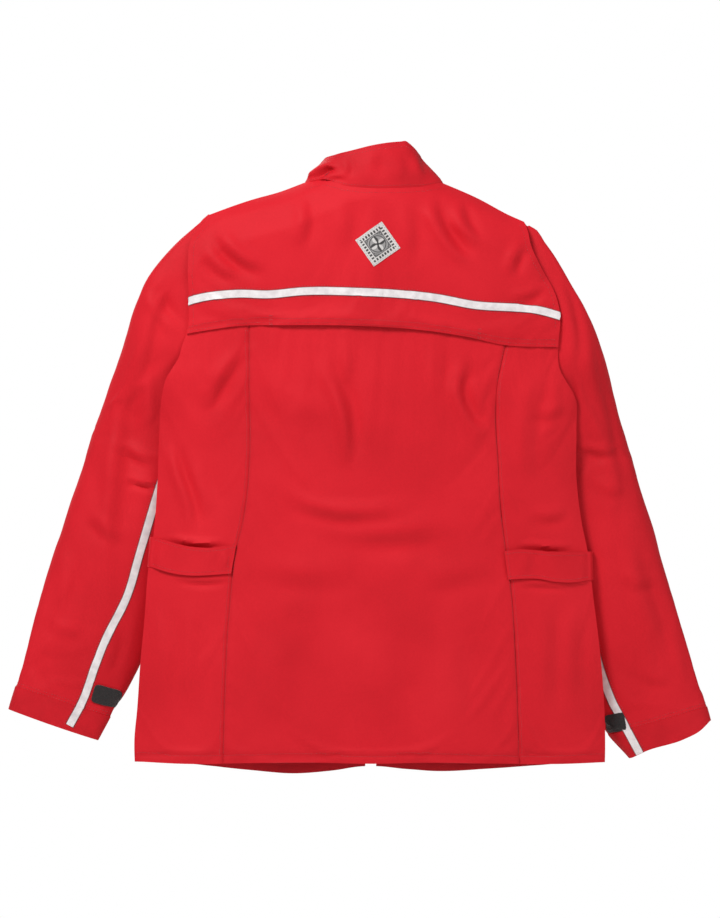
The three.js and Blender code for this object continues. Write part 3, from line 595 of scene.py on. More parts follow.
def shell_cloth(name, code, dark, light):
    """Coated nylon, plain woven: two drifting tones, a woven grain and a dull wear."""
    material, tree, shader = new_material(
        name, Roughness=0.62, Sheen_Weight=0.05, Sheen_Roughness=0.45, Specular_IOR_Level=0.16, IOR=1.5)
    shader.inputs["Sheen Tint"].default_value = linear("ff9a96")
    place = add_node(tree, "ShaderNodeTexCoord")
    drift = add_node(tree, "ShaderNodeTexNoise", {"Scale": 7.0, "Detail": 3.0, "Roughness": 0.55},
                     {"Vector": place.outputs["Object"]})
    mottle = add_node(tree, "ShaderNodeTexNoise", {"Scale": 420.0, "Detail": 2.0, "Roughness": 0.6},
                      {"Vector": place.outputs["Object"]})
    blend = add_node(tree, "ShaderNodeMath", {"operation": "MULTIPLY_ADD", 1: 0.35},
                     {0: mottle.outputs["Fac"], 2: drift.outputs["Fac"]})
    ramp = add_node(tree, "ShaderNodeValToRGB", {}, {"Fac": blend.outputs[0]})
    ramp.color_ramp.elements[0].position = 0.38
    ramp.color_ramp.elements[0].color = linear(dark)
    ramp.color_ramp.elements[1].position = 0.95
    ramp.color_ramp.elements[1].color = linear(light)
    middle = ramp.color_ramp.elements.new(0.66)
    middle.color = linear(code)
    worn = add_node(tree, "ShaderNodeAttribute", {"attribute_name": "soil"})
    soiled = add_node(tree, "ShaderNodeMix",
                      {"data_type": "RGBA", "blend_type": "MULTIPLY", 7: linear("8f6a66")},
                      {0: worn.outputs["Fac"], 6: ramp.outputs["Color"]})
    tree.links.new(soiled.outputs[2], shader.inputs["Base Color"])
    rough = add_node(tree, "ShaderNodeMapRange", {"To Min": 0.56, "To Max": 0.7},
                     {"Value": drift.outputs["Fac"]})
    tree.links.new(rough.outputs["Result"], shader.inputs["Roughness"])
    bump = woven_bump(tree, 1.5, 0.22, mottle.outputs["Fac"])
    tree.links.new(bump.outputs["Normal"], shader.inputs["Normal"])
    return material


SHELL = shell_cloth("coated_nylon_red", "d71a28", "cb1623", "df202d")

# %% [markdown]
# The lining is a smooth dark taffeta. The reflective tape is a cloth covered in glass beads: a
# pale silver with a fine diamond quilt, and dark edges where it's sewn down. Hook and loop is a
# black pile. The vent's mesh is a knitted net, and the loop and zip tapes are woven ribbon.

# %% Lining, tape, pile, net and ribbon
def simple_cloth(name, low, high, spacing, roughness, sheen, depth=0.3, noise=180.0):
    material, tree, shader = new_material(name, Roughness=roughness, Sheen_Weight=sheen,
                                          Specular_IOR_Level=0.35)
    place = add_node(tree, "ShaderNodeTexCoord")
    drift = add_node(tree, "ShaderNodeTexNoise", {"Scale": noise, "Detail": 3.0},
                     {"Vector": place.outputs["Object"]})
    ramp = add_node(tree, "ShaderNodeValToRGB", {}, {"Fac": drift.outputs["Fac"]})
    ramp.color_ramp.elements[0].position = 0.3
    ramp.color_ramp.elements[0].color = linear(low)
    ramp.color_ramp.elements[1].position = 0.7
    ramp.color_ramp.elements[1].color = linear(high)
    tree.links.new(ramp.outputs["Color"], shader.inputs["Base Color"])
    bump = woven_bump(tree, spacing, depth, drift.outputs["Fac"])
    tree.links.new(bump.outputs["Normal"], shader.inputs["Normal"])
    return material


LINING = simple_cloth("taffeta_lining_grey", "24262b", "30333a", 1.2, 0.5, 0.1, 0.2)
RIBBON = simple_cloth("woven_ribbon_red", "8f1822", "a81f2b", 1.6, 0.75, 0.1, 0.5)
PILE = simple_cloth("hook_and_loop_black", "0d0b0b", "2a2526", 1.7, 0.95, 0.6, 1.0, 900.0)
NET = simple_cloth("knitted_net_grey", "2c2d31", "45474d", 2.2, 0.9, 0.1, 0.9)
THREAD = simple_cloth("polyester_thread_red", "a5202b", "c02a34", 0.6, 0.55, 0.2, 0.4, 600.0)


def tape_cloth():
    """Glass-bead reflective tape: silver white, quilted in diamonds, dark at both sewn edges."""
    material, tree, shader = new_material("glass_bead_tape", Roughness=0.36, Metallic=0.08,
                                          Specular_IOR_Level=0.6)
    place = add_node(tree, "ShaderNodeUVMap", {"uv_map": "cloth"})
    parts = add_node(tree, "ShaderNodeSeparateXYZ", {}, {"Vector": place.outputs["UV"]})
    edge = add_node(tree, "ShaderNodeMath", {"operation": "ABSOLUTE"}, {0: parts.outputs["Y"]})
    inside = add_node(tree, "ShaderNodeMapRange", {"From Min": 4.6 * MM, "From Max": 5.2 * MM, "To Min": 0.0,
                                                  "To Max": 1.0}, {"Value": edge.outputs[0]})
    wear = add_node(tree, "ShaderNodeTexNoise", {"Scale": 90.0, "Detail": 4.0},
                    {"Vector": place.outputs["UV"]})
    ramp = add_node(tree, "ShaderNodeValToRGB", {}, {"Fac": wear.outputs["Fac"]})
    ramp.color_ramp.elements[0].position = 0.3
    ramp.color_ramp.elements[0].color = linear("dbd3d5")
    ramp.color_ramp.elements[1].position = 0.62
    ramp.color_ramp.elements[1].color = linear("f2eced")
    mixed = add_node(tree, "ShaderNodeMix", {"data_type": "RGBA", 7: linear("6a4348")},
                     {0: inside.outputs["Result"], 6: ramp.outputs["Color"]})
    tree.links.new(mixed.outputs[2], shader.inputs["Base Color"])
    quilt = add_node(tree, "ShaderNodeMapping", {"Rotation": (0, 0, math.pi / 4)},
                     {"Vector": place.outputs["UV"]})
    beads = add_node(tree, "ShaderNodeTexVoronoi", {"Scale": 0.5 / (1.6 * MM)},
                     {"Vector": quilt.outputs["Vector"]})
    bump = add_node(tree, "ShaderNodeBump", {"Strength": 0.25, "Distance": 0.3 * MM},
                    {"Height": beads.outputs["Distance"]})
    tree.links.new(bump.outputs["Normal"], shader.inputs["Normal"])
    return material


TAPE = tape_cloth()

# %% [markdown]
# ## The back panels
#
# A centre panel and two side panels meet at curved princess seams that shape the waist. Their
# tops run up under the yoke. Each is one grid between its seams.

# %% Centre back and side panels
def soil(piece, amount):
    """Writes how dull the cloth is at each point, from a function of pattern places."""
    places = coordinates(piece.data) / MM - SHIFT
    attribute = piece.data.attributes.new("soil", "FLOAT", "POINT")
    attribute.data.foreach_set("value", np.clip(amount(*places.T), 0, 1))


def body_soil(x, y, z):
    rub = 0.10 * ease((26 - np.abs(z - 2)) / 26) * (0.6 + 0.6 * ripple(x, z, 16, 9, 31))
    near_seams = sum(0.12 * np.exp(-((x - princess(np.clip(z, 0, 600), h)) / 2.4) ** 2) for h in (-1, 1))
    hem_row = 0.14 * np.exp(-((z - 11) / 1.6) ** 2)
    spots = 0.10 * np.exp(-(((x - 207) / 9) ** 2 + ((z - 16) / 7) ** 2))
    cloud = 0.05 * (1 + ripple(x, z, 70, 90, 33))
    return rub + near_seams + hem_row + spots + cloud


def edge_rows(points):
    """Index of the grid points on the four edges."""
    rows, columns = points.shape[:2]
    index = np.arange(rows * columns).reshape(rows, columns)
    return np.unique(np.r_[index[0], index[-1], index[:, 0], index[:, -1]])


def sheet_over(name, low, high, inner, outer, surface, outward, step=4.0, rounded=(True, True, True, True)):
    """A cloth grid between four edge lines on a surface given over (x, z)."""
    def length(points):
        return np.sum(np.linalg.norm(np.diff(np.asarray(points, float), axis=0), axis=1))
    columns = max(4, int(max(length(low), length(high)) / step) + 1)
    rows = max(4, int(max(length(inner), length(outer)) / step) + 1)
    places = fill(line(low, columns, rounded[0]), line(high, columns, rounded[1]),
                  line(inner, rows, rounded[2]), line(outer, rows, rounded[3]))
    points = surface(places[..., 0], places[..., 1])
    return build_mesh(name, points, places, outward), points


VENT_TOP = 30.0  # the panels go up behind the yoke by this much


def up_line(place, low, high, count=40):
    heights = np.linspace(low, high, count)
    return np.c_[place(heights), heights]


HEM_STEP = [(-306, 1.5), (-240, -1), (-160, 0.5), (-80, 1.5), (0, 0), (80, 1.2), (160, 0), (240, -1.2),
            (304, 0.5)]
tops = {side: yoke_low(princess(560, hand)) + VENT_TOP for side, hand in (("left", -1), ("right", 1))}
back_trees = []


def hem_height(x):
    return smooth_value(HEM_STEP, x)


def hem_line(from_x, to_x):
    x = np.linspace(from_x, to_x, 30)
    return np.c_[x, hem_height(x)]


def side_surface(hand):
    """The side panel's surface: its edge dips under the centre panel, as a lapped seam's does."""
    def surface(x, z):
        points = back_surface(x, z)
        points[..., 1] += 1.7 * ease((3.2 - hand * (x - princess(z, hand))) / 3)
        return points
    return surface


def make_back():
    left_seam = up_line(lambda z: princess(z, -1), hem_height(-191), tops["left"])
    right_seam = up_line(lambda z: princess(z, 1), hem_height(192), tops["right"])
    x = np.linspace(left_seam[-1, 0], right_seam[-1, 0], 30)
    centre, points = sheet_over("back_center_cloth", hem_line(left_seam[0, 0], right_seam[0, 0]),
                                np.c_[x, yoke_low(x) + VENT_TOP], left_seam, right_seam, back_surface,
                                towards_back)
    made = [(centre, points, ["back_center_panel"])]
    for side, hand, table in (("left", -1, LEFT_SIDE), ("right", 1, RIGHT_SIDE)):
        seam = up_line(lambda z, h=hand: princess(z, h) - 2.6 * h, hem_height(hand * 191), tops[side])
        edge_top = yoke_low(hand * 238) + VENT_TOP
        edge = up_line(lambda z, t=table: smooth_value(t, z), hem_height(hand * 305), edge_top)
        x = np.linspace(seam[-1, 0], edge[-1, 0], 16)
        piece, points = sheet_over(f"back_side_cloth_{side}", hem_line(seam[0, 0], edge[0, 0]),
                                   np.c_[x, yoke_low(x) + VENT_TOP], seam, edge, side_surface(hand),
                                   towards_back, step=3.2)
        made.append((piece, points, [f"back_side_panel_{side}"]))
    return made


for piece, points, nodes in make_back():
    size = grid_size(points)
    settle(piece, edge_rows(points), swell=0.012, puff=0.3, cap=5)
    back_trees.append(tree_of(piece))
    soil(piece, body_soil)
    thicken(piece)
    finish_cloth(piece, SHELL, "shell_cloth", nodes, size)

# %% [markdown]
# ## The yoke
#
# The yoke is a cape over the shoulders. Its lower edge hangs free between two bar tacks, which
# leaves a vent behind it, so it casts a thin shadow on the panels.

# %% Yoke
SHOULDER_LEFT = [(-209, 711.5), (-152, 731.5), (-118, 741), (-86, 753)]
NECK_LINE = [(-86, 753), (-62, 757), (-34, 748), (-8, 745), (38, 745), (70, 747.5), (92, 753)]
SHOULDER_RIGHT = [(92, 753), (140, 732), (177, 712), (199, 702)]


def make_yoke():
    x = np.linspace(-240, 243, 60)
    low = np.c_[x, yoke_low(x)]
    high = np.r_[line(SHOULDER_LEFT, 30), line(NECK_LINE, 40)[1:], line(SHOULDER_RIGHT, 26)[1:]]
    left = up_line(lambda z: smooth_value(LEFT_SIDE, z), low[0, 1], 711.5)
    right = up_line(lambda z: smooth_value(RIGHT_SIDE, z), low[-1, 1], 702)
    low[0], low[-1] = left[0], right[0]
    left[-1], right[-1] = high[0], high[-1]
    return sheet_over("yoke_cloth", low, high, left, right, yoke_surface, towards_back,
                      rounded=(True, False, True, True))


def yoke_soil(x, y, z):
    low_edge = z - yoke_low(x)
    rows = 0.14 * np.exp(-((low_edge - 6.5) / 2.0) ** 2)
    patchy = 0.6 + 0.6 * ripple(x, z, 9, 9, 41)
    stain = 0.35 * np.exp(-(((x - 222) / 14) ** 2 + ((z - 640) / 16) ** 2)) * patchy
    stain = stain + 0.22 * np.exp(-(((x - 215) / 10) ** 2 + ((z - 668) / 12) ** 2))
    return rows + stain + 0.05 * (1 + ripple(x, z, 60, 60, 42))


yoke, yoke_points = make_yoke()
yoke_size = grid_size(yoke_points)
yoke_pins = edge_rows(yoke_points)
settle(yoke, yoke_pins, swell=0.012, puff=0.3, cap=4)
yoke_tree = tree_of(yoke)
soil(yoke, yoke_soil)
thicken(yoke, CLOTH + 0.3)
finish_cloth(yoke, SHELL, "shell_cloth", ["back_yoke"], yoke_size)

# %% [markdown]
# ## The sleeves
#
# A sleeve is a tube that hangs beside the body. Its head tucks in under the yoke's edge at the
# armhole. It's made in two tubes that meet exactly: the upper one runs from the shoulder, the
# lower one on past the elbow to the cuff.

# %% Sleeve shapes
ARMS = {
    "left": {
        "hand": -1, "pivot": (-246.0, 573.0),
        "down": (-0.3057, -0.9521), "into": (0.9521, -0.3057), "top": -143.0,
        "outer": [(-143, 9), (-125, 20), (-96, 37), (-47, 59), (-5, 64), (56, 64), (140, 67), (222, 67),
                  (304, 68), (386, 68), (467, 64), (555, 61)],
        "inner": [(-143, -4), (-125, 24), (-110, 44), (-85, 60), (-50, 72), (0, 75), (110, 72), (225, 73),
                  (305, 75), (435, 84), (490, 75), (555, 60.5)],
        "end": [(-64, 550), (0, 552), (62, 553)],
    },
    "right": {
        "hand": 1, "pivot": (246.0, 556.0),
        "down": (0.27396, -0.96174), "into": (-0.96174, -0.27396), "top": -147.0,
        "outer": [(-147, 0), (-139, 7.5), (-120, 14), (-95, 23), (-28, 41), (35, 48), (115, 46.5),
                  (278, 49), (441, 51), (556, 51)],
        "inner": [(-147, 9), (-139, 13), (-122, 27), (-108, 42), (-85, 60), (-50, 72), (0, 75), (110, 72),
                  (225, 73), (305, 75),
                  (435, 84), (508, 83), (556, 63)],
        "end": [(-54, 536), (-35, 546), (-10, 551), (44, 552.5), (64, 556)],
    },
}
NEAR_FACE = [(-143, -2), (-128, -6), (-110, -9.5), (-85, -13.5), (-50, -17.2), (0, -17.4), (40, -15), (75, -3),
             (110, 7), (225, 10), (305, 10), (430, 16), (556, 18)]
FAR_FACE = [(-143, 3), (-125, 7), (-110, 9), (-85, 13), (-50, 15), (-20, 16), (0, 26), (40, 55), (110, 76),
            (225, 80), (305, 80), (430, 56), (556, 52)]
SLEEVE_SPLIT = 190.0
FULLNESS = 2.35  # above 2 the section is fuller than an ellipse

SLEEVE_CREASES = {
    "left": [
        ([(-300, 622), (-272, 588), (-240, 552)], 9, 3.2, 0.9),
        ([(-262, 640), (-280, 590), (-296, 530), (-305, 470)], 12, 2.6, 0.8),
        ([(-308, 560), (-322, 470), (-330, 380), (-340, 280), (-346, 210)], 13, 3.4, 0.9),
        ([(-292, 520), (-284, 470), (-288, 420)], 9, 2.2, 0.9),
        ([(-330, 420), (-306, 398), (-278, 388)], 8, 2.2, 1.0),
        ([(-322, 368), (-300, 363), (-272, 358)], 4.5, 3.0, 1.1),
        ([(-372, 330), (-344, 300), (-312, 288)], 9, 2.2, 0.9),
        ([(-400, 300), (-394, 240), (-402, 180)], 11, 1.8, 0.9),
        ([(-430, 190), (-398, 172), (-366, 168)], 9, 1.8, 0.9),
        ([(-445, 130), (-432, 95), (-436, 66)], 9, 1.6, 0.8),
        ([(-330, 190), (-336, 140), (-350, 100)], 8, 1.6, 0.9),
    ],
    "right": [
        ([(243, 640), (258, 590), (266, 540), (262, 500)], 9, 3.0, 1.0),
        ([(262, 620), (280, 560), (292, 500), (300, 430)], 11, 2.4, 0.8),
        ([(300, 520), (306, 450), (318, 380), (330, 320)], 11, 2.6, 0.9),
        ([(275, 420), (298, 404), (322, 402)], 8, 2.0, 0.9),
        ([(285, 372), (310, 352), (338, 352)], 8, 2.0, 0.9),
        ([(336, 310), (350, 240), (372, 170), (380, 120)], 13, 2.8, 0.9),
        ([(318, 250), (346, 232), (378, 236)], 9, 1.8, 0.9),
        ([(392, 190), (406, 140), (414, 90)], 9, 1.6, 0.8),
        ([(340, 130), (366, 108), (398, 106)], 8, 1.6, 0.9),
    ],
}


def sleeve_section(side, s):
    arm = ARMS[side]
    outer, inner = smooth_value(arm["outer"], s), smooth_value(arm["inner"], s)
    near, far = smooth_value(NEAR_FACE, s), smooth_value(FAR_FACE, s)
    return (inner - outer) / 2, (inner + outer) / 2, (near + far) / 2, (far - near) / 2


def sleeve_surface(side, s, turn, lift=0.0, folded=True):
    """Point of a sleeve: turn 0 is its inner edge, a quarter its front, three quarters its back."""
    arm = ARMS[side]
    shift, half, middle, deep = sleeve_section(side, s)
    c, q = np.cos(turn), np.sin(turn)
    power = 2 / FULLNESS
    across = np.sign(c) * np.abs(c) ** power
    away = np.sign(q) * np.abs(q) ** power
    normal = np.stack([c / half, q / deep], -1)
    normal = normal / np.linalg.norm(normal, axis=-1, keepdims=True)
    x = arm["pivot"][0] + arm["down"][0] * s + arm["into"][0] * (shift + across * half)
    z = arm["pivot"][1] + arm["down"][1] * s + arm["into"][1] * (shift + across * half)
    rise = np.full(np.shape(x), float(lift))
    if folded:
        arc = turn * 70
        back = np.clip(-q, 0, 1) ** 0.5
        rise = rise + 1.5 * back * folds(x, z, SLEEVE_CREASES[side])
        rise = rise + (1 - back) * 2.4 * ripple(s, arc, 60, 44, 51 + arm["hand"])
        rise = rise + 0.8 * ripple(s, arc, 34, 30, 61) + 0.3 * ripple(s, arc, 14, 15, 62)
        elbow = np.exp(-((s - 265) / 70) ** 2) * (0.35 + 0.65 * np.clip(c, 0, 1))
        rise = rise + 2.4 * elbow * ripple(s, arc, 20, 70, 63)
        rise = rise * ease((s - arm["top"]) / 50)
    step = (shift + across * half) + rise * normal[..., 0]
    return np.stack([arm["pivot"][0] + arm["down"][0] * s + arm["into"][0] * step,
                     middle + away * deep + rise * normal[..., 1],
                     arm["pivot"][1] + arm["down"][1] * s + arm["into"][1] * step], -1)


def arm_point(side, s, y=45.0):
    """A point on a sleeve's axis, in the row frame."""
    arm = ARMS[side]
    place = np.array([arm["pivot"][0] + arm["down"][0] * s, y, arm["pivot"][1] + arm["down"][1] * s])
    return tuple((place + SHIFT) * MM)


def shoulder_bend(side):
    return "torso", f"upper_arm_{side}", arm_point(side, -50), arm_point(side, 100)


def elbow_bend(side):
    return f"upper_arm_{side}", f"forearm_{side}", arm_point(side, 215), arm_point(side, 315)


def sleeve_tube(side, name, low_s, high_s, rows, lift=0.0, columns=84):
    """A closed tube between two distances; a high_s of None ends at the slanted cuff edge."""
    arm = ARMS[side]
    turn = np.arange(columns) / columns * 2 * np.pi
    grid_turn, v = np.meshgrid(turn, np.linspace(0, 1, rows))
    shift, half, _, _ = sleeve_section(side, 545.0)
    c = np.cos(grid_turn)
    across = shift + np.sign(c) * np.abs(c) ** (2 / FULLNESS) * half
    end = smooth_value(arm["end"], across) if high_s is None else high_s
    s = low_s + v * (end - low_s)
    points = sleeve_surface(side, s, grid_turn, lift)
    flat = np.stack([grid_turn * 66, -s], -1)
    centre = np.array(arm_point(side, (low_s + 540) / 2 if high_s is None else (low_s + high_s) / 2))

    def outward(at):
        along = np.array([arm["down"][0], 0, arm["down"][1]])
        away = at - centre
        return away - (away @ along)[:, None] * along
    return build_mesh(name, points, flat, outward, closed=True), points


def tube_size(points):
    """Flat size of a tube: once round by its length."""
    return grid_size(np.concatenate([points, points[:, :1]], 1))


# %% Sleeves and cuffs
def sleeve_soil(x, y, z):
    grubby = ease((90 - z) / 70) * (0.5 + 0.5 * ripple(x, z, 12, 12, 72))
    return 0.05 * (1 + ripple(x, z, 70, 70, 71)) + 0.12 * grubby


sleeve_trees = {}
for side in ARMS:
    upper, points = sleeve_tube(side, f"sleeve_upper_cloth_{side}", ARMS[side]["top"], SLEEVE_SPLIT, 78)
    size = tube_size(points)
    count = points.shape[1]
    rim = np.r_[0:3 * count, (points.shape[0] - 3) * count:points.shape[0] * count]
    settle(upper, rim, swell=0.014, puff=0.2, cap=5)
    upper_tree = tree_of(upper)
    soil(upper, sleeve_soil)
    thicken(upper)
    finish_cloth(upper, SHELL, "shell_cloth", [f"sleeve_upper_{side}"], size, blend=shoulder_bend(side))

    lower, points = sleeve_tube(side, f"sleeve_lower_cloth_{side}", SLEEVE_SPLIT, None, 84)
    size = tube_size(points)
    rim = np.r_[0:3 * count, (points.shape[0] - 8) * count:points.shape[0] * count]
    settle(lower, rim, swell=0.014, puff=0.2, cap=5)
    sleeve_trees[side] = [upper_tree, tree_of(lower)]
    soil(lower, sleeve_soil)
    thicken(lower)
    finish_cloth(lower, SHELL, "shell_cloth", [f"sleeve_lower_{side}"], size, blend=elbow_bend(side))

    cuff, points = sleeve_tube(side, f"cuff_cloth_{side}", 519.0, None, 9, lift=0.9)
    size = tube_size(points)
    sleeve_trees[side].append(tree_of(cuff))
    soil(cuff, lambda x, y, z: 0.16 + 0.1 * ripple(x, z, 12, 12, 74))
    thicken(cuff, CLOTH)
    finish_cloth(cuff, SHELL, "shell_cloth", [f"cuff_{side}"], size, body=f"forearm_{side}")

# %% [markdown]
# ## Reflective tapes
#
# The tape is 11 mm wide and sewn down along both edges. Each strip is laid on the cloth below
# it, point by point, so it follows every fold.

# %% Tapes on the yoke and sleeves
TAPE_HALF = 5.6


def strip_on(name, path, half, trees, lift, outward, y_of, across=7, spacing=3.0):
    """A strip of even width along a path of (x, z) places, laid on cloth. Its map runs along it."""
    length = np.sum(np.linalg.norm(np.diff(line(path, 60), axis=0), axis=1))
    centre = line(path, int(length / spacing) + 2)
    tangent = np.gradient(centre, axis=0)
    tangent /= np.linalg.norm(tangent, axis=1, keepdims=True)
    side = np.stack([-tangent[:, 1], tangent[:, 0]], 1)
    offset = np.linspace(-half, half, across)
    places = centre[:, None] + side[:, None] * offset[None, :, None]
    y = y_of(places[..., 0], places[..., 1])
    points = lay_on(np.stack([places[..., 0], y, places[..., 1]], -1), trees, lift)
    run = np.linspace(0, length, len(centre))
    flat = np.stack(np.broadcast_arrays(run[:, None], offset[None]), -1)
    return build_mesh(name, points, flat, outward), points


def back_y(x, z):
    return -body_depth(x, z, BACK_FULL, 0.75) - 4


def sleeve_back_y(side):
    """Height of a sleeve's back face over pattern places."""
    arm = ARMS[side]

    def y_of(x, z):
        dx, dz = x - arm["pivot"][0], z - arm["pivot"][1]
        s = dx * arm["down"][0] + dz * arm["down"][1]
        shift, half, middle, deep = sleeve_section(side, s)
        u = np.clip(np.abs((dx * arm["into"][0] + dz * arm["into"][1] - shift) / half), 0, 0.999)
        return middle - deep * (1 - u**FULLNESS) ** (1 / FULLNESS) - 3
    return y_of


tape, points = strip_on("yoke_tape", TAPE_LINE, TAPE_HALF, [yoke_tree], 0.9, towards_back, back_y)
size = grid_size(points)
thicken(tape, THIN)
finish_cloth(tape, TAPE, "reflective_tape", ["back_reflective_tape"], size)

ARM_TAPES = {
    "left": [[(-252, 432), (-262, 398), (-272, 366)],
             [(-272, 366), (-277, 350), (-300, 272), (-317, 215), (-345, 159), (-359, 124), (-374, 81),
              (-392, 47)]],
    "right": [[(215, 431), (225, 395), (236, 358)],
              [(236, 358), (262, 262), (283, 180), (303, 107), (314, 78), (333, 42), (350, 10)]],
}
for side in ARMS:
    for part, path in zip(("upper", "lower"), ARM_TAPES[side]):
        tape, points = strip_on(f"sleeve_tape_{part}_strip_{side}", path, TAPE_HALF, sleeve_trees[side], 0.9,
                                towards_back, sleeve_back_y(side))
        size = grid_size(points)
        thicken(tape, THIN)
        bend = {"blend": elbow_bend(side)} if part == "lower" else {"body": f"upper_arm_{side}"}
        finish_cloth(tape, TAPE, "reflective_tape", [f"sleeve_tape_{part}_{side}"], size, **bend)


# %% [markdown]
# A waterproof coat's seams are taped on the inside. Here the tape also closes the slit between
# the back panels.

# %% Seam tapes
for side, hand in (("left", -1), ("right", 1)):
    z = np.linspace(3, 586, 60)
    piece, points = strip_on(f"seam_tape_{side}", np.c_[princess(z, hand), z], 6.0, back_trees, -3.4,
                             towards_back, back_y)
    size = grid_size(points)
    thicken(piece, THIN)
    finish_cloth(piece, SHELL, "shell_cloth", [], size)

# %% [markdown]
# ## Waist tabs
#
# Each tab is sewn into the princess seam and goes round the side seam. It's a folded band,
# a little longer than the cloth below it, so its upper edge stands off in the middle.

# %% Waist tabs
TABS = {
    "left": {"top": [(-174, 284), (-195, 280), (-216, 279), (-238, 281), (-262, 287), (-282, 293)],
             "low": [(-181, 246), (-204, 244), (-228, 243), (-245, 244), (-262, 247), (-285, 254)]},
    "right": {"top": [(173, 275), (195, 277), (218, 275), (239, 273), (262, 273), (283, 274)],
              "low": [(178, 238), (196, 239), (215, 239), (239, 235), (262, 234), (284, 237)]},
}
TAB_CREASES = [([(-190, 246), (-186, 262), (-190, 280)], 6, 2.0, 0.9),
               ([(-204, 240), (-206, 262), (-202, 284)], 9, 1.2, 0.7),
               ([(206, 240), (204, 262), (208, 284)], 8, 1.2, 0.8)]
TAB_WRAP = 7  # columns that turn round the side


def waist_tab(side):
    hand = ARMS[side]["hand"]
    top, low = line(TABS[side]["top"], 52), line(TABS[side]["low"], 52)
    v = np.linspace(0, 1, 18)[:, None]
    places = (1 - v)[..., None] * low[None] + v[..., None] * top[None]
    u = np.linspace(0, 1, places.shape[1])[None, :]
    x, z = places[..., 0], places[..., 1]
    bow = np.sin(np.pi * np.clip(u * 1.02, 0, 1)) ** 1.4
    stand = 2.8 + bow * (1.2 + 4.6 * v**1.5) + 0.8 * ripple(x, z, 20, 30, 81 + hand)
    stand = stand + 1.2 * bow * ripple(x, z, 34, 60, 83) + folds(x, z, TAB_CREASES)
    depth = body_depth(x, z, BACK_FULL, 0.75)
    y = -(depth + stand * (0.35 + 0.65 * ease((1 - u) / 0.1)))
    turn = np.linspace(0, np.pi / 2, TAB_WRAP + 1)[1:][None, :]
    wrap_x = x[:, -1:] + hand * 5.5 * np.sin(turn)
    wrap_y = y[:, -1:] + 12 * (1 - np.cos(turn))
    wrap_z = z[:, -1:] + 0 * turn
    points = np.stack([np.c_[x, wrap_x], np.c_[y, wrap_y], np.c_[z, wrap_z]], -1)
    run = np.r_[0, np.cumsum(np.linalg.norm(np.diff(points[9], axis=0), axis=1))]
    flat = np.stack(np.broadcast_arrays(run[None], 37 * v), -1)
    return build_mesh(f"waist_tab_cloth_{side}", points, flat, towards_back), points


tab_trees = {}
for side in ARMS:
    tab, points = waist_tab(side)
    size = grid_size(points)
    tab_trees[side] = [tree_of(tab)]
    soil(tab, lambda x, y, z: 0.06 + 0.06 * ripple(x, z, 20, 20, 84))
    thicken(tab, 2.2)
    finish_cloth(tab, SHELL, "shell_cloth", [f"waist_tab_{side}"], size, body=f"waist_strap_{side}")

# %% [markdown]
# ## Label and wrist patches
#
# The label is a woven patch turned on its corner. Its picture here is a plain geometric one: a
# ring of bars round a four-petalled star. Each thread of it is a cell of a fine grid whose
# colour is kept in an attribute. The wrist patches are hook-and-loop pile, a field of tiny
# uneven loops.

# %% Label
def painted_cloth(name, attribute, roughness):
    material, tree, shader = new_material(name, Roughness=roughness, Sheen_Weight=0.15)
    paint = add_node(tree, "ShaderNodeAttribute", {"attribute_name": attribute})
    tree.links.new(paint.outputs["Color"], shader.inputs["Base Color"])
    bump = woven_bump(tree, 1.0, 0.5)
    tree.links.new(bump.outputs["Normal"], shader.inputs["Normal"])
    return material


WOVEN_LABEL = painted_cloth("woven_label", "thread", 0.75)
LABEL_CENTRE = (9.0, 672.0)
LABEL_HALF = 21.0
LABEL_TURN = math.radians(35)


def label_colours(a, b):
    """Thread colours over the label: a, b run from -1 to 1 across it."""
    edge = np.maximum(np.abs(a), np.abs(b))
    pale, grey, dark = (np.array(linear(c)) for c in ("d3cfcd", "9b9898", "3a3839"))
    colour = np.broadcast_to(pale, (*a.shape, 4)).copy()
    angle = np.arctan2(b, a)
    along = np.where(np.abs(a) > np.abs(b), b, a)
    bars = (edge > 0.66) & (edge < 0.84) & (np.sin(along * 31) > -0.15) & (np.abs(along) < 0.82)
    colour[bars] = dark
    field = edge < 0.58
    colour[field] = grey
    radius = np.hypot(a, b)
    star = radius < 0.53 * (0.42 + 0.58 * np.abs(np.cos(2 * angle)) ** 1.6)
    colour[field & star] = dark
    colour[field & star & (np.sin(4 * angle + 0.001) > 0)] = pale
    colour[(radius < 0.1)] = dark
    colour[field & (radius > 0.48) & (radius < 0.53)] = dark
    colour[field & (radius > 0.6) & (np.sin(a * 40) * np.sin(b * 40) > 0)] = dark
    colour[(edge > 0.58) & (edge < 0.61)] = dark
    return colour


def flat_patch(name, centre, half, turn, trees, lift, outward, y_of, step, corner=0.0, rise=None):
    """A patch of cloth with its own outline, laid on other cloth."""
    columns, rows = int(2 * half[0] / step) + 1, int(2 * half[1] / step) + 1
    a, b = np.meshgrid(np.linspace(-1, 1, columns), np.linspace(-1, 1, rows))
    squeeze = 1 - corner * (np.abs(a) * np.abs(b)) ** 6
    dx, dz = a * half[0] * squeeze, b * half[1] * squeeze
    x = centre[0] + np.cos(turn) * dx - np.sin(turn) * dz
    z = centre[1] + np.sin(turn) * dx + np.cos(turn) * dz
    points = lay_on(np.stack([x, y_of(x, z), z], -1), trees, lift)
    if rise is not None:
        points[..., 1] -= rise(a, b)
    flat = np.stack([dx, dz], -1)
    return build_mesh(name, points, flat, outward), points, a, b


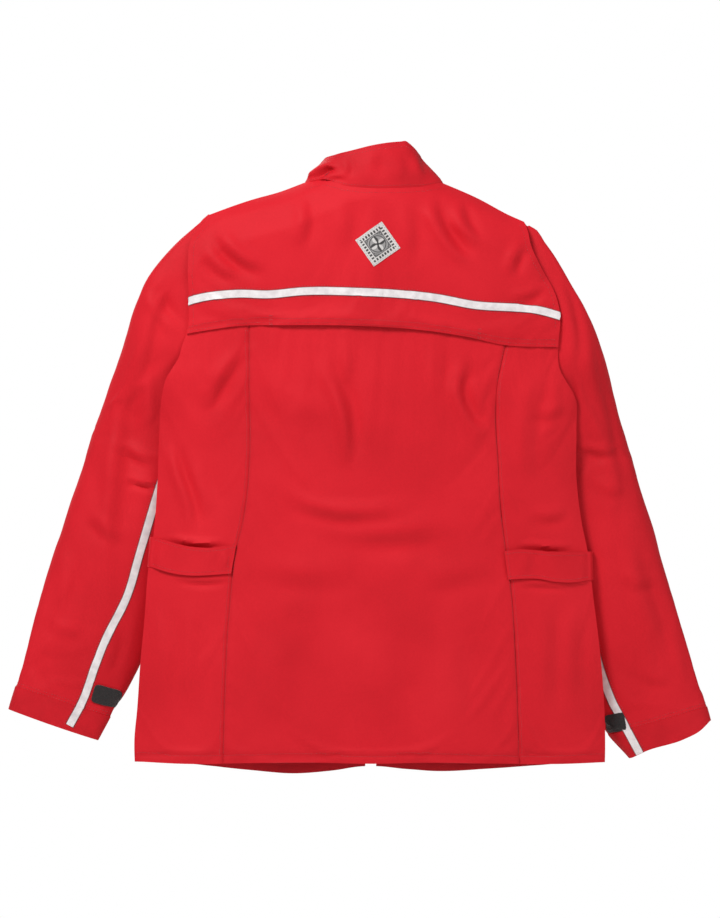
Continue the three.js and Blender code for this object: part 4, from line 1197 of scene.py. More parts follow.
label, points, a, b = flat_patch("label_cloth", LABEL_CENTRE, (LABEL_HALF, LABEL_HALF), LABEL_TURN,
                                 [yoke_tree], 1.0, towards_back, back_y, 0.42,
                                 rise=lambda a, b: 0.35 * np.cos(a * 1.4) * np.cos(b * 1.4))
thread = label.data.color_attributes.new("thread", "FLOAT_COLOR", "POINT")
thread.data.foreach_set("color", label_colours(a, b).ravel())
size = grid_size(points)
label_tree = tree_of(label)
thicken(label, 0.8)
finish_cloth(label, WOVEN_LABEL, "woven_label", ["label_patch"], size)

# %% Wrist patches
PATCHES = {  # centre, half size and turn
    "left": ((-343.5, 84.5), (18.5, 12.0), math.radians(-16)),
    "right": ((318.0, 50.0), (13.0, 12.0), math.radians(10)),
}
for side in ARMS:
    centre, half, turn = PATCHES[side]
    seed = 90 + ARMS[side]["hand"]

    def loops(a, b, seed=seed, half=half):
        fuzz = np.random.default_rng(seed).uniform(0, 1, a.shape)
        return 0.6 + 0.12 * fuzz * (np.maximum(np.abs(a), np.abs(b)) < 0.96)
    patch, points, _, _ = flat_patch(f"wrist_pile_{side}", centre, half, turn, [sleeve_trees[side][1]], 1.1,
                                     towards_back, sleeve_back_y(side), 0.8, corner=0.12, rise=loops)
    size = grid_size(points)
    thicken(patch, 1.0)
    finish_cloth(patch, PILE, "loop_pile", [f"cuff_loop_patch_{side}"], size, body=f"forearm_{side}")

# %% [markdown]
# ## Collar and hang loop
#
# The stand collar is a ring with a slot at the front for the zip. It leans in at the top, and on
# the left it has been tucked into a small fold. The lining stands inside it, and the hang loop
# that carries the whole coat is sewn inside the back of the neck.

# %% Collar
FRONT_NECK = 712.0
COLLAR_TOP = [(-66, 781), (-62, 784), (-46, 789), (-27, 793.5), (4, 801), (38, 805.6), (47, 806), (51, 803),
              (60, 794), (66, 787)]
COLLAR_CREASES = [
    ([(-84, 756), (-68, 765), (-54, 773), (-38, 769)], 4, 6.5, 1.5),
    ([(-62, 753), (-44, 760), (-26, 757)], 4, 2.2, 0.9),
    ([(-36, 787), (-28, 772), (-34, 758)], 5, 2.0, 0.9),
    ([(10, 750), (4, 772), (10, 796)], 9, 1.5, 0.8),
    ([(74, 752), (62, 772), (56, 796)], 7, 2.2, 0.9),
    ([(44, 750), (40, 775), (36, 800)], 8, 1.2, 0.8),
]


def collar_surface(turn, v, inset=0.0):
    """turn 0 is the centre front and half a turn the centre back; v runs up the collar."""
    swing, reach = np.cos(turn), -np.sin(turn)
    half = (90 - inset) * (1 - v) + (62 - inset) * v
    x = 3.5 * (1 - v) + 1.5 * v + reach * half
    back = 30.5 - 7 * v - inset
    front = FRONT_FACE - inset - 1.5 * v
    middle = (front - back) / 2
    y = middle + swing * (front - middle)
    base_back = smooth_value(NECK_LINE, x)
    base_front = FRONT_NECK + 41 * np.clip(np.abs(x / 88), 0, 1) ** 2
    base = np.where(swing > 0, base_front, base_back)
    side_top = np.where(x < 0, 781.0, 791.0)
    top_back = smooth_value(COLLAR_TOP, x)
    top_front = 770 + (side_top - 770) * np.clip(np.abs(x) / 64, 0, 1) ** 2.5
    mix = ease((swing + 0.25) / 0.5)
    top = top_back * (1 - mix) + top_front * mix
    z = base + v * (top - base) - (4 * v if inset else 0)
    lift = 2.4 * np.sin(np.pi * v) + (1 - mix) * folds(x, z, COLLAR_CREASES) * ease((1.08 - v) / 0.2)
    lift = lift + 1.1 * ripple(turn * 70, v * 57, 26, 34, 101) + 0.35 * ripple(turn * 70, v * 57, 10, 12, 102)
    lift = lift * (1 if not inset else 0.6)
    normal = np.stack([reach, swing], -1)
    return np.stack([x + normal[..., 0] * lift, y + normal[..., 1] * lift, z], -1)


def collar_ring(name, slot, inset, rows, low=0.0):
    turn, v = np.meshgrid(np.linspace(slot, 2 * np.pi - slot, 150), np.linspace(low, 1, rows))
    points = collar_surface(turn, v, inset)
    flat = np.stack([turn * 70, v * 57], -1)
    centre = np.array([-0.001, 0.03, 0.01])

    def outward(at):
        away = at - centre
        away[:, 2] = 0
        return away
    return build_mesh(name, points, flat, outward), points


collar, points = collar_ring("collar_cloth", 0.125, 0.0, 22)
size = grid_size(points)
collar_trees = [tree_of(collar)]
soil(collar, lambda x, y, z: 0.10 + 0.12 * ripple(x, z, 24, 18, 103))
thicken(collar, 1.6)
finish_cloth(collar, SHELL, "shell_cloth", ["collar"], size)
inner, points = collar_ring("collar_lining_cloth", 0.19, 3.6, 16, 0.03)
size = grid_size(points)
thicken(inner, THIN)
finish_cloth(inner, LINING, "lining_cloth", ["collar_lining"], size)


# %% Hang loop
def hang_loop():
    turn = np.linspace(0, np.pi, 44)[None, :]
    v = np.linspace(-1, 1, 7)[:, None]
    x = 4 - np.cos(turn) * 23 * (1 - 0.03 * v**2) + 0 * v
    z = 748 + np.sin(turn) ** 0.9 * 13.0 + 0 * v
    y = -21.8 + v * 1.9 + 0.25 * np.sin(6 * turn)
    points = np.stack(np.broadcast_arrays(x, y, z), -1)
    flat = np.stack(np.broadcast_arrays(turn * 20, v * 1.9), -1)
    centre = np.array([0, 0, -0.012])
    return build_mesh("hang_loop_ribbon", points, flat, lambda at: at - centre), points


loop, points = hang_loop()
size = grid_size(points)
thicken(loop, 0.9)
loop.data.materials.append(RIBBON)
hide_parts("hang_loop")
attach(loop, "torso")
print("hang loop's ribbon, mm:", round(size[0] / MM), "long")

# %% [markdown]
# ## Linings, facing and net
#
# Behind the shell hang the dark linings. A strip of shell cloth is turned up inside the hem, and
# a knitted net closes the yoke's vent.

# %% Inner sheets
def inner_sheet(name, low, high, inner, outer, face, drop, seed):
    fullness, roundness = (BACK_FULL, 0.75) if face < 0 else (FRONT_FULL, 1.05)

    def surface(x, z):
        depth = body_depth(x, z, fullness, roundness) - drop + 0.5 * ripple(x, z, 40, 70, seed)
        return np.stack([x, face * np.maximum(depth, 0.4), z], -1)
    outward = towards_back if face < 0 else towards_front
    return sheet_over(name, low, high, inner, outer, surface, outward, step=7.0, rounded=(False,) * 4)


def lining_half(z):
    return smooth_value([(20, 238), (120, 232), (250, 212), (380, 192), (440, 160), (480, 120), (720, 84)], z)


LINING_DROP = 8.6
low, high = 30, 716
piece, points = inner_sheet("back_lining_cloth", [(-lining_half(low), low), (lining_half(low), low)],
                            [(-lining_half(high), high), (lining_half(high), high)],
                            up_line(lambda z: -lining_half(z), low, high), up_line(lining_half, low, high),
                            -1, LINING_DROP, 111)
size = grid_size(points)
thicken(piece, THIN)
finish_cloth(piece, LINING, "lining_cloth", ["lining_back"], size)

piece, points = inner_sheet("hem_facing_cloth", [(-246, 2), (246, 2)], [(-246, 27), (246, 27)],
                            [(-246, 2), (-246, 27)], [(246, 2), (246, 27)], -1, 2.6, 112)
size = grid_size(points)
thicken(piece, 0.9)
finish_cloth(piece, SHELL, "shell_cloth", ["hem_facing_back"], size)

x = np.linspace(-134, 134, 40)
piece, points = inner_sheet("vent_net_cloth", np.c_[x, yoke_low(x) + 31], np.c_[x, yoke_low(x) + 76],
                            [(-134, 598), (-134, 643)], [(134, 581), (134, 626)], -1, 3.2, 113)
size = grid_size(points)
thicken(piece, THIN)
finish_cloth(piece, NET, "vent_mesh", ["yoke_vent_mesh"], size)

# %% [markdown]
# ## The front
#
# Two front panels and two front yokes are joined at a chest seam. The yoke's outer edge lies on
# the sleeve's head. The hem dips a little lower than the back.

# %% Front panels and yokes
CHEST = 440.0
PLACKET = 7.2
FRONT_CREASES = [
    ([(-60, 690), (-80, 640), (-110, 600)], 13, 2.6, 0.9),
    ([(60, 690), (84, 640), (118, 604)], 13, 2.6, 0.9),
    ([(-150, 520), (-110, 470), (-80, 400), (-74, 330)], 17, 3.2, 0.9),
    ([(150, 520), (112, 470), (84, 400), (70, 320)], 17, 3.2, 0.9),
    ([(-210, 420), (-180, 360), (-190, 290)], 14, 2.6, 0.9),
    ([(210, 420), (176, 350), (188, 280)], 14, 2.6, 0.9),
    ([(-50, 300), (-56, 180), (-48, 60)], 16, 2.2, 0.8),
    ([(54, 300), (62, 180), (50, 60)], 16, 2.2, 0.8),
    ([(-262, 220), (-254, 120), (-266, 30)], 12, 2.0, 0.8),
    ([(262, 220), (250, 120), (262, 30)], 12, 2.0, 0.8),
]
FRONT_HEM = [(-306, 1), (-243, -2), (-160, -11), (-100, -16), (-50, -12.5), (-7, -7), (7, -7), (50, -11),
             (82, -13), (160, -9), (250, -2), (304, 1)]


def front_base(x, z):
    return body_depth(x, z, FRONT_FULL, 1.05)


def front_surface(x, z):
    base = front_base(x, z)
    lift = folds(x, z, FRONT_CREASES) + 1.5 * ripple(x, z, 58, 84, 121) + 0.35 * ripple(x, z, 16, 20, 122)
    lift = lift + groove(z - CHEST) + pucker(z - CHEST, x, seed=11) + pucker(z - 5, x, 16, 0.7, 12)
    edge = np.minimum(x - smooth_value(LEFT_SIDE, z), smooth_value(RIGHT_SIDE, z) - x)
    hold = (0.15 + 0.85 * ease(edge / 24)) * (0.1 + 0.9 * ease((np.abs(x) - 26) / 24))
    return np.stack([x, base + lift * hold, z], -1)


SCOOP = [(238, CHEST + 0.5), (222, 468), (208, 500), (203, 535), (206, 570), (213, 604), (223, 640),
         (224, 668)]


def sleeve_front_y(side, x, z):
    arm = ARMS[side]
    dx, dz = x - arm["pivot"][0], z - arm["pivot"][1]
    s = dx * arm["down"][0] + dz * arm["down"][1]
    shift, half, middle, deep = sleeve_section(side, s)
    u = np.clip(np.abs((dx * arm["into"][0] + dz * arm["into"][1] - shift) / half), 0, 0.97)
    return middle + deep * (1 - u**FULLNESS) ** (1 / FULLNESS)


def front_yoke_surface(side):
    hand = ARMS[side]["hand"]
    edge_line = line([(hand * a, b) for a, b in SCOOP], 60)

    def surface(x, z):
        away = np.min(np.hypot(x[..., None] - edge_line[:, 0], z[..., None] - edge_line[:, 1]), axis=-1)
        near = (1 - ease(away / 42)) * ease((smooth_value(SHOULDER, x) - z - 4) / 44)
        points = front_surface(x, z)
        rest = np.minimum(sleeve_front_y(side, x, z) + 2.4, front_base(x, z) + 6)
        points[..., 1] = points[..., 1] * (1 - near) + rest * near
        at_seam = ease((smooth_value(SHOULDER, x) - z - 1) / 16)
        points[..., 1] = points[..., 1] * at_seam + (front_base(x, z) - 0.9) * (1 - at_seam)
        points[..., 1] += pucker(away - 4, z, 10, 0.6, 14) * ease((smooth_value(SHOULDER, x) - z - 2) / 30)
        return points
    return surface


def front_neck(x):
    return FRONT_NECK + 41 * np.clip(np.abs(x / 88), 0, 1) ** 2


front_trees = []
for side in ARMS:
    hand = ARMS[side]["hand"]
    table = LEFT_SIDE if hand < 0 else RIGHT_SIDE
    x = np.linspace(hand * PLACKET, smooth_value(table, 0), 40)
    low = np.c_[x, smooth_value(FRONT_HEM, x)]
    x = np.linspace(hand * PLACKET, smooth_value(table, CHEST), 40)
    high = np.c_[x, 0 * x + CHEST]
    placket = [(hand * PLACKET, low[0, 1]), (hand * PLACKET, CHEST)]
    edge = up_line(lambda z: smooth_value(table, z), low[-1, 1], CHEST)
    piece, points = sheet_over(f"front_cloth_{side}", low, high, placket, edge, front_surface,
                               towards_front, step=5.0)
    size = grid_size(points)
    settle(piece, edge_rows(points), swell=0.014, puff=0.3, cap=4)
    front_trees.append(tree_of(piece))
    soil(piece, lambda x, y, z: 0.06 * (1 + ripple(x, z, 60, 60, 123)) + 0.1 * ease((30 - z) / 30))
    thicken(piece)
    finish_cloth(piece, SHELL, "shell_cloth", [f"front_panel_{side}"], size)

    low = [(hand * PLACKET, CHEST + 0.5), (hand * SCOOP[0][0], SCOOP[0][1])]
    neck_x = np.linspace(hand * PLACKET, hand * 86, 24)
    left_shoulder = [(hand * a, b) for a, b in ((86, 753), (118, 741), (152, 731), (209, 711))]
    right_shoulder = [(92, 753), (140, 732), (177, 712), (199, 702)]
    shoulder = line(left_shoulder if hand < 0 else right_shoulder, 24)
    high = np.r_[np.c_[neck_x, front_neck(neck_x)], shoulder[1:]]
    scoop = [(hand * a, b) for a, b in SCOOP] + [tuple(shoulder[-1])]
    placket = [(hand * PLACKET, CHEST + 0.5), (hand * PLACKET, front_neck(PLACKET))]
    piece, points = sheet_over(f"front_yoke_cloth_{side}", low, high, placket, scoop, front_yoke_surface(side),
                               towards_front, step=4.5, rounded=(False, False, False, True))
    size = grid_size(points)
    settle(piece, edge_rows(points), swell=0.012, puff=0.3, cap=3)
    front_trees.append(tree_of(piece))
    soil(piece, lambda x, y, z: 0.06 * (1 + ripple(x, z, 60, 60, 124)))
    thicken(piece)
    finish_cloth(piece, SHELL, "shell_cloth", [f"front_yoke_{side}"], size)

    low, high = 30, 664
    zip_side = hand * 20.0
    piece, points = inner_sheet(f"front_lining_cloth_{side}",
                                [(zip_side, low), (hand * lining_half(low), low)],
                                [(zip_side, high), (hand * lining_half(high), high)],
                                [(zip_side, low), (zip_side, high)],
                                up_line(lambda z: hand * lining_half(z), low, high), 1, LINING_DROP, 125)
    size = grid_size(points)
    thicken(piece, THIN)
    finish_cloth(piece, LINING, "lining_cloth", [f"lining_front_{side}"], size)

    path = [(hand * a, 606 - 0.05 * a) for a in (30, 70, 110, 150, 196)]
    piece, points = strip_on(f"front_tape_strip_{side}", path, TAPE_HALF, front_trees[-1:], 0.9, towards_front,
                             lambda x, z: front_base(x, z) + 4)
    size = grid_size(points)
    thicken(piece, THIN)
    finish_cloth(piece, TAPE, "reflective_tape", [f"front_reflective_tape_{side}"], size)

# %% [markdown]
# ## Pockets
#
# A patch pocket's sides fold in so that it can swell. It's open at the top, under a lid that
# hinges at its own seam.

# %% Pockets and lids
POCKET = {"inner": 85.0, "outer": 235.0, "low": 60.0, "high": 215.0, "depth": 15.6}


def pocket_cloth(side):
    hand = ARMS[side]["hand"]
    u, v = np.meshgrid(np.linspace(0, 1, 60), np.linspace(0, 1, 58))
    x = hand * (POCKET["inner"] + u * (POCKET["outer"] - POCKET["inner"]))
    z = POCKET["low"] + v * (POCKET["high"] - POCKET["low"])
    edge = np.minimum(np.minimum(u, 1 - u) * 150, v * 155)
    stand = 1.2 + POCKET["depth"] * ease(edge / 8) + 0.8 * ripple(x, z, 34, 40, 131) * ease(edge / 14)
    stand = stand + groove(edge - 13, 1.4, 0.5)
    stand = stand - 2.5 * np.sin(np.pi * u) ** 2 * ease((v - 0.75) / 0.25)
    y = body_depth(x, z, FRONT_FULL, 1.05) + stand
    points = np.stack([x, y, z], -1)
    flat = np.stack([hand * u * 170, v * 165], -1)
    return build_mesh(f"pocket_cloth_{side}", points, flat, towards_front), points


def lid_cloth(side):
    hand = ARMS[side]["hand"]
    u, v = np.meshgrid(np.linspace(0, 1, 62), np.linspace(0, 1, 22))
    from_end = np.clip(1 - np.minimum(u, 1 - u) * 156 / 10, 0, 1)
    round_corner = 6 * (1 - np.sqrt(np.clip(1 - from_end ** 2, 0, 1)))
    x = hand * (82 + u * 156)
    z = 231 - v * (41 - round_corner)
    stand = 2.6 + 16.2 * ease(v / 0.42) + 0.7 * ripple(x, z, 26, 22, 133) * ease(v / 0.3)
    y = body_depth(x, np.minimum(z, 231), FRONT_FULL, 1.05) + stand
    points = np.stack([x, y, z], -1)
    flat = np.stack([hand * u * 156, v * 44], -1)
    return build_mesh(f"pocket_lid_cloth_{side}", points, flat, towards_front), points


pocket_trees, lid_trees = {}, {}
for side in ARMS:
    piece, points = pocket_cloth(side)
    pocket_trees[side] = [tree_of(piece)]
    soil(piece, lambda x, y, z: 0.08 + 0.1 * ripple(x, z, 18, 18, 132))
    size = grid_size(points)
    thicken(piece, 1.3)
    finish_cloth(piece, SHELL, "shell_cloth", [f"pocket_{side}"], size)
    piece, points = lid_cloth(side)
    lid_trees[side] = [tree_of(piece)]
    soil(piece, lambda x, y, z: 0.06 + 0.06 * ripple(x, z, 18, 18, 134))
    size = grid_size(points)
    thicken(piece, 2.0)
    finish_cloth(piece, SHELL, "shell_cloth", [f"pocket_flap_{side}"], size, body=f"pocket_lid_{side}")

# %% [markdown]
# ## Storm flap and wrist straps
#
# The storm flap is one sheet that arches over the zip. A wrist strap lies across the front of
# each cuff.

# %% Storm flap and wrist straps
FLAP_LOW, FLAP_HIGH = 2.0, 709.0


def storm_flap():
    x, z = np.meshgrid(np.linspace(-28, 28, 25), np.linspace(FLAP_LOW, FLAP_HIGH, 190))
    arch = 7 * (1 - ease((np.abs(x) - 6) / 10))
    wave = 0.6 * ripple(x, z, 30, 44, 141) + 0.8 * ripple(0 * x, z, 30, 120, 142) * ease((x + 28) / 30)
    y = FRONT_FACE + 3.6 + arch + np.abs(wave) * 0.7
    points = np.stack([x, y, z], -1)
    return build_mesh("storm_flap_cloth", points, np.stack([x, z], -1), towards_front), points


flap, points = storm_flap()
flap_trees = [tree_of(flap)]
soil(flap, lambda x, y, z: 0.06 + 0.08 * ripple(x, z, 20, 40, 143))
size = grid_size(points)
thicken(flap, 1.6)
finish_cloth(flap, SHELL, "shell_cloth", ["storm_flap"], size, body="flap")

strap_trees = {}
for side in ARMS:
    arm = ARMS[side]
    path = [(arm["pivot"][0] + arm["down"][0] * 531 + arm["into"][0] * q,
             arm["pivot"][1] + arm["down"][1] * 531 + arm["into"][1] * q) for q in (-37, -12, 12, 37)]
    piece, points = strip_on(f"wrist_strap_{side}", path, 12.5, [sleeve_trees[side][1]], 4.6, towards_front,
                             lambda x, z: 60 + 0 * x, across=13, spacing=2.5)
    strap_trees[side] = [tree_of(piece)]
    soil(piece, lambda x, y, z: 0.1 + 0.05 * ripple(x, z, 18, 18, 151))
    size = grid_size(points)
    thicken(piece, 1.8)
    finish_cloth(piece, SHELL, "shell_cloth", [f"cuff_tab_{side}"], size, body=f"cuff_strap_{side}")

# %% [markdown]
# ## Zip and snaps
#
# The zip is a coarse moulded one. One tooth is modelled with a waist and a rounded nose, then
# copied down both tapes. Its plastic is acetal: smooth, a little waxy. The snaps are pressed
# brass under nickel.

# %% Plastic and metal
def moulded_plastic(name, code):
    material, tree, shader = new_material(name, Base_Color=linear(code), Roughness=0.38, IOR=1.48)
    place = add_node(tree, "ShaderNodeTexCoord")
    marks = add_node(tree, "ShaderNodeTexNoise", {"Scale": 900.0, "Detail": 2.0},
                     {"Vector": place.outputs["Object"]})
    rough = add_node(tree, "ShaderNodeMapRange", {"To Min": 0.3, "To Max": 0.5},
                     {"Value": marks.outputs["Fac"]})
    tree.links.new(rough.outputs["Result"], shader.inputs["Roughness"])
    bump = add_node(tree, "ShaderNodeBump", {"Strength": 0.1, "Distance": 0.1 * MM},
                    {"Height": marks.outputs["Fac"]})
    tree.links.new(bump.outputs["Normal"], shader.inputs["Normal"])
    return material


def nickel(name):
    material, tree, shader = new_material(name, Metallic=1.0)
    place = add_node(tree, "ShaderNodeTexCoord")
    marks = add_node(tree, "ShaderNodeTexNoise", {"Scale": 700.0, "Detail": 4.0},
                     {"Vector": place.outputs["Object"]})
    tone = add_node(tree, "ShaderNodeValToRGB", {}, {"Fac": marks.outputs["Fac"]})
    tone.color_ramp.elements[0].color = linear("8d8f93")
    tone.color_ramp.elements[1].color = linear("b9bbbe")
    tree.links.new(tone.outputs["Color"], shader.inputs["Base Color"])
    rough = add_node(tree, "ShaderNodeMapRange", {"To Min": 0.22, "To Max": 0.42},
                     {"Value": marks.outputs["Fac"]})
    tree.links.new(rough.outputs["Result"], shader.inputs["Roughness"])
    return material


ACETAL = moulded_plastic("moulded_acetal_red", "7c1620")
NICKEL = nickel("nickel_plated_brass")


# %% Hard pieces, modelled with operators
def row_place(x, y, z):
    return Vector(((x + SHIFT[0]) * MM, (y + SHIFT[1]) * MM, (z + SHIFT[2]) * MM))


def begin(add_primitive, name, **settings):
    """Adds one primitive on its own selection, at its size and place."""
    bpy.ops.object.select_all(action="DESELECT")
    add_primitive(**settings)
    piece = bpy.context.object
    piece.name = name
    bpy.ops.object.transform_apply(location=True, rotation=True, scale=True)
    return piece


def select_faces(piece, wanted):
    """Selects the faces whose centre and normal pass a test, in edit mode."""
    bpy.ops.object.mode_set(mode="OBJECT")
    for kind in (piece.data.vertices, piece.data.edges, piece.data.polygons):
        kind.foreach_set("select", [False] * len(kind))
    for face in piece.data.polygons:
        face.select = bool(wanted(face.center, face.normal))
    bpy.ops.object.mode_set(mode="EDIT")
    bpy.ops.mesh.select_mode(type="FACE")


def finish_hard(piece, material, nodes, body, bevel=0.25):
    bpy.ops.object.mode_set(mode="OBJECT")
    rounding = piece.modifiers.new("rounding", "BEVEL")
    rounding.width = bevel * MM
    rounding.segments = 2
    rounding.limit_method = "ANGLE"
    apply_all(piece)
    bpy.ops.object.select_all(action="DESELECT")
    piece.select_set(True)
    bpy.context.view_layer.objects.active = piece
    bpy.ops.object.shade_smooth_by_angle(angle=math.radians(40))
    piece.data.materials.append(material)
    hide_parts(*nodes)
    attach(piece, body)
    print(piece.name, "faces:", len(piece.data.polygons))


def copy_of(piece, name, shift):
    """A copy with its own mesh, moved in the mesh, so its object stays at the origin."""
    made = piece.copy()
    made.data = piece.data.copy()
    made.name = name
    scene.collection.objects.link(made)
    for vertex in made.data.vertices:
        vertex.co += Vector(shift) * MM
    return made


# %% Snaps
SNAP_X = -22.0
snap_heights = [40 + i * (FLAP_HIGH - 35 - 40) / 3 for i in range(4)]


def snap_disc(name, y, radius, depth):
    piece = begin(bpy.ops.mesh.primitive_cylinder_add, name, vertices=32, radius=radius * MM, depth=depth * MM,
                  location=row_place(SNAP_X, y, snap_heights[0]), rotation=(math.pi / 2, 0, 0))
    select_faces(piece, lambda c, n: n.y > 0.9)
    return piece


cap = snap_disc("snap_cap_first", FRONT_FACE + 5.1, 5.6, 1.0)
bpy.ops.mesh.inset(thickness=0.9 * MM, depth=0.35 * MM)
bpy.ops.mesh.inset(thickness=0.5 * MM, depth=-0.3 * MM)
bpy.ops.mesh.inset(thickness=0.9 * MM, depth=0.28 * MM)
bpy.ops.mesh.inset(thickness=1.3 * MM, depth=0.14 * MM)
caps = [cap]
bpy.ops.object.mode_set(mode="OBJECT")
socket = snap_disc("snap_socket_first", FRONT_FACE + 1.0, 5.0, 1.0)
bpy.ops.mesh.inset(thickness=1.2 * MM, depth=0.15 * MM)
bpy.ops.mesh.inset(thickness=0.6 * MM, depth=-0.3 * MM)
bpy.ops.mesh.inset(thickness=0.9 * MM, depth=0.45 * MM)
bpy.ops.object.mode_set(mode="OBJECT")
sockets = [socket]
for i in range(1, 4):
    rise = (0, 0, snap_heights[i] - snap_heights[0])
    caps.append(copy_of(cap, f"snap_cap_copy_{i + 1}", rise))
    sockets.append(copy_of(socket, f"snap_socket_copy_{i + 1}", rise))
for i in range(4):
    bpy.context.view_layer.objects.active = caps[i]
    finish_hard(caps[i], NICKEL, [f"snap_cap_{i + 1}"], "flap", 0.15)
    bpy.context.view_layer.objects.active = sockets[i]
    finish_hard(sockets[i], NICKEL, [f"snap_socket_{i + 1}"], "torso", 0.15)

# %% Zip tapes and teeth
ZIP_LOW, ZIP_HIGH = 4.0, 763.0
TAPE_FACE = FRONT_FACE - 2.5
TEETH_BACK = TAPE_FACE + 0.3


def zip_half(side):
    hand = ARMS[side]["hand"]
    x, z = np.meshgrid(hand * np.linspace(0.4, 11.5, 8), np.linspace(ZIP_LOW, ZIP_HIGH, 220))
    points = np.stack([x, 0 * x + TAPE_FACE, z], -1)
    ribbon = build_mesh(f"zip_ribbon_{side}", points, np.stack([x, z], -1), towards_front)
    size = grid_size(points)
    thicken(ribbon, THIN)
    finish_cloth(ribbon, RIBBON, "zip_tape", [f"zip_tape_{side}"], size)


def zip_teeth(side):
    hand = ARMS[side]["hand"]
    offset = 1.5 if hand > 0 else 0.0
    tooth = begin(bpy.ops.mesh.primitive_cube_add, f"zip_teeth_row_{side}", size=1.0,
                  location=row_place(hand * 1.75, TEETH_BACK + 1.1, ZIP_LOW + 10.5 + offset),
                  scale=(2.6 * MM, 2.0 * MM, 1.5 * MM))
    select_faces(tooth, lambda c, n: n.x * -hand > 0.9)
    bpy.ops.mesh.extrude_region_move(TRANSFORM_OT_translate={"value": (-hand * 0.45 * MM, 0, 0)})
    bpy.ops.transform.resize(value=(1, 0.8, 1.3), center_override=tuple(row_place(hand * 0.2, TEETH_BACK + 1.1,
                                                                                  ZIP_LOW + 10.5 + offset)))
    bpy.ops.object.mode_set(mode="OBJECT")
    row = tooth.modifiers.new("row", "ARRAY")
    row.count = 248
    row.use_relative_offset = False
    row.use_constant_offset = True
    row.constant_offset_displace = (0, 0, 3.0 * MM)
    apply_all(tooth)
    bpy.context.view_layer.objects.active = tooth
    finish_hard(tooth, ACETAL, [f"zip_teeth_{side}"], "torso", 0.18)


for side in ARMS:
    zip_half(side)
    zip_teeth(side)

# %% Retainer box, slider and puller
SLIDER_TOP = ZIP_HIGH - 3
SLIDER_FRONT = TEETH_BACK + 2.2 + 0.5 + 1.6
retainer = begin(bpy.ops.mesh.primitive_cube_add, "zip_retainer", size=1.0,
                 location=row_place(0, TEETH_BACK + 1.1, ZIP_LOW + 4.3), scale=(7.2 * MM, 2.2 * MM, 8.6 * MM))
select_faces(retainer, lambda c, n: n.y > 0.9)
bpy.ops.mesh.inset(thickness=1.0 * MM, depth=0.0)
bpy.ops.mesh.inset(thickness=0.3 * MM, depth=-0.4 * MM)
finish_hard(retainer, ACETAL, ["zip_retainer_box"], "torso", 0.35)


def slider_body():
    half, back, under, front = 5.0, TEETH_BACK, TEETH_BACK + 2.7, SLIDER_FRONT
    outline = [(-half, back), (-half, front), (half, front), (half, back), (half - 1.4, back),
               (half - 1.4, under),
               (-half + 1.4, under), (-half + 1.4, back)]
    mesh = bpy.data.meshes.new("zip_slider_body")
    base, top = SLIDER_TOP - 14, SLIDER_TOP
    corners = [row_place(x, y, base)[:] for x, y in outline] + [row_place(x, y, top)[:] for x, y in outline]
    count = len(outline)
    sides = [(i, (i + 1) % count, count + (i + 1) % count, count + i) for i in range(count)]
    ends = [(0, 7, 6, 1), (1, 6, 5, 2), (2, 5, 4, 3)]
    faces = sides + ends + [tuple(count + i for i in reversed(e)) for e in ends]
    mesh.from_pydata(corners, [], faces)
    piece = bpy.data.objects.new("zip_slider_body", mesh)
    scene.collection.objects.link(piece)
    bpy.ops.object.select_all(action="DESELECT")
    piece.select_set(True)
    bpy.context.view_layer.objects.active = piece
    bpy.ops.object.mode_set(mode="EDIT")
    bpy.ops.mesh.select_all(action="SELECT")
    bpy.ops.mesh.normals_make_consistent(inside=False)
    select_faces(piece, lambda c, n: n.y > 0.9 and c.y > row_place(0, under + 1, 0).y)
    bpy.ops.mesh.inset(thickness=1.6 * MM, depth=0.35 * MM)
    return piece


slider = slider_body()
finish_hard(slider, ACETAL, ["zip_slider"], "slider", 0.4)
bridge = begin(bpy.ops.mesh.primitive_torus_add, "zip_slider_bridge", major_radius=2.6 * MM,
               minor_radius=0.55 * MM, major_segments=28, minor_segments=10,
               location=row_place(0, SLIDER_FRONT + 0.4, SLIDER_TOP - 7),
               rotation=(0, math.pi / 2, 0))
finish_hard(bridge, ACETAL, [], "slider", 0.05)

PULL_LENGTH = 27.4
pull_y = SLIDER_FRONT + 1.4
puller = begin(bpy.ops.mesh.primitive_cube_add, "zip_puller_tab", size=1.0,
               location=row_place(0, pull_y, SLIDER_TOP - 7 - PULL_LENGTH / 2 - 1.6),
               scale=(4.6 * MM, 0.9 * MM, PULL_LENGTH * MM - 3.4 * MM))
select_faces(puller, lambda c, n: n.z > 0.9)
bpy.ops.transform.resize(value=(0.7, 1, 1))
select_faces(puller, lambda c, n: abs(n.y) > 0.9)
bpy.ops.mesh.inset(thickness=0.8 * MM, depth=-0.18 * MM)
finish_hard(puller, NICKEL, ["zip_puller"], "puller", 0.15)
ring = begin(bpy.ops.mesh.primitive_torus_add, "zip_puller_ring", major_radius=1.9 * MM, minor_radius=0.4 * MM,
             major_segments=28, minor_segments=8, location=row_place(0, pull_y, SLIDER_TOP - 8.2),
             rotation=(math.pi / 2, 0, 0))
finish_hard(ring, NICKEL, [], "puller", 0.05)

# %% [markdown]
# ## Stitches
#
# Topstitching is what makes sewn cloth read as sewn. Every stitch is a tiny spindle of thread
# that dips into the cloth at both ends. The rows follow the seams: two along the yoke's edge,
# two beside each princess seam, one above the hem, two round the collar's top and one at its
# foot, and rows on the tabs, pockets, flap and cuffs.

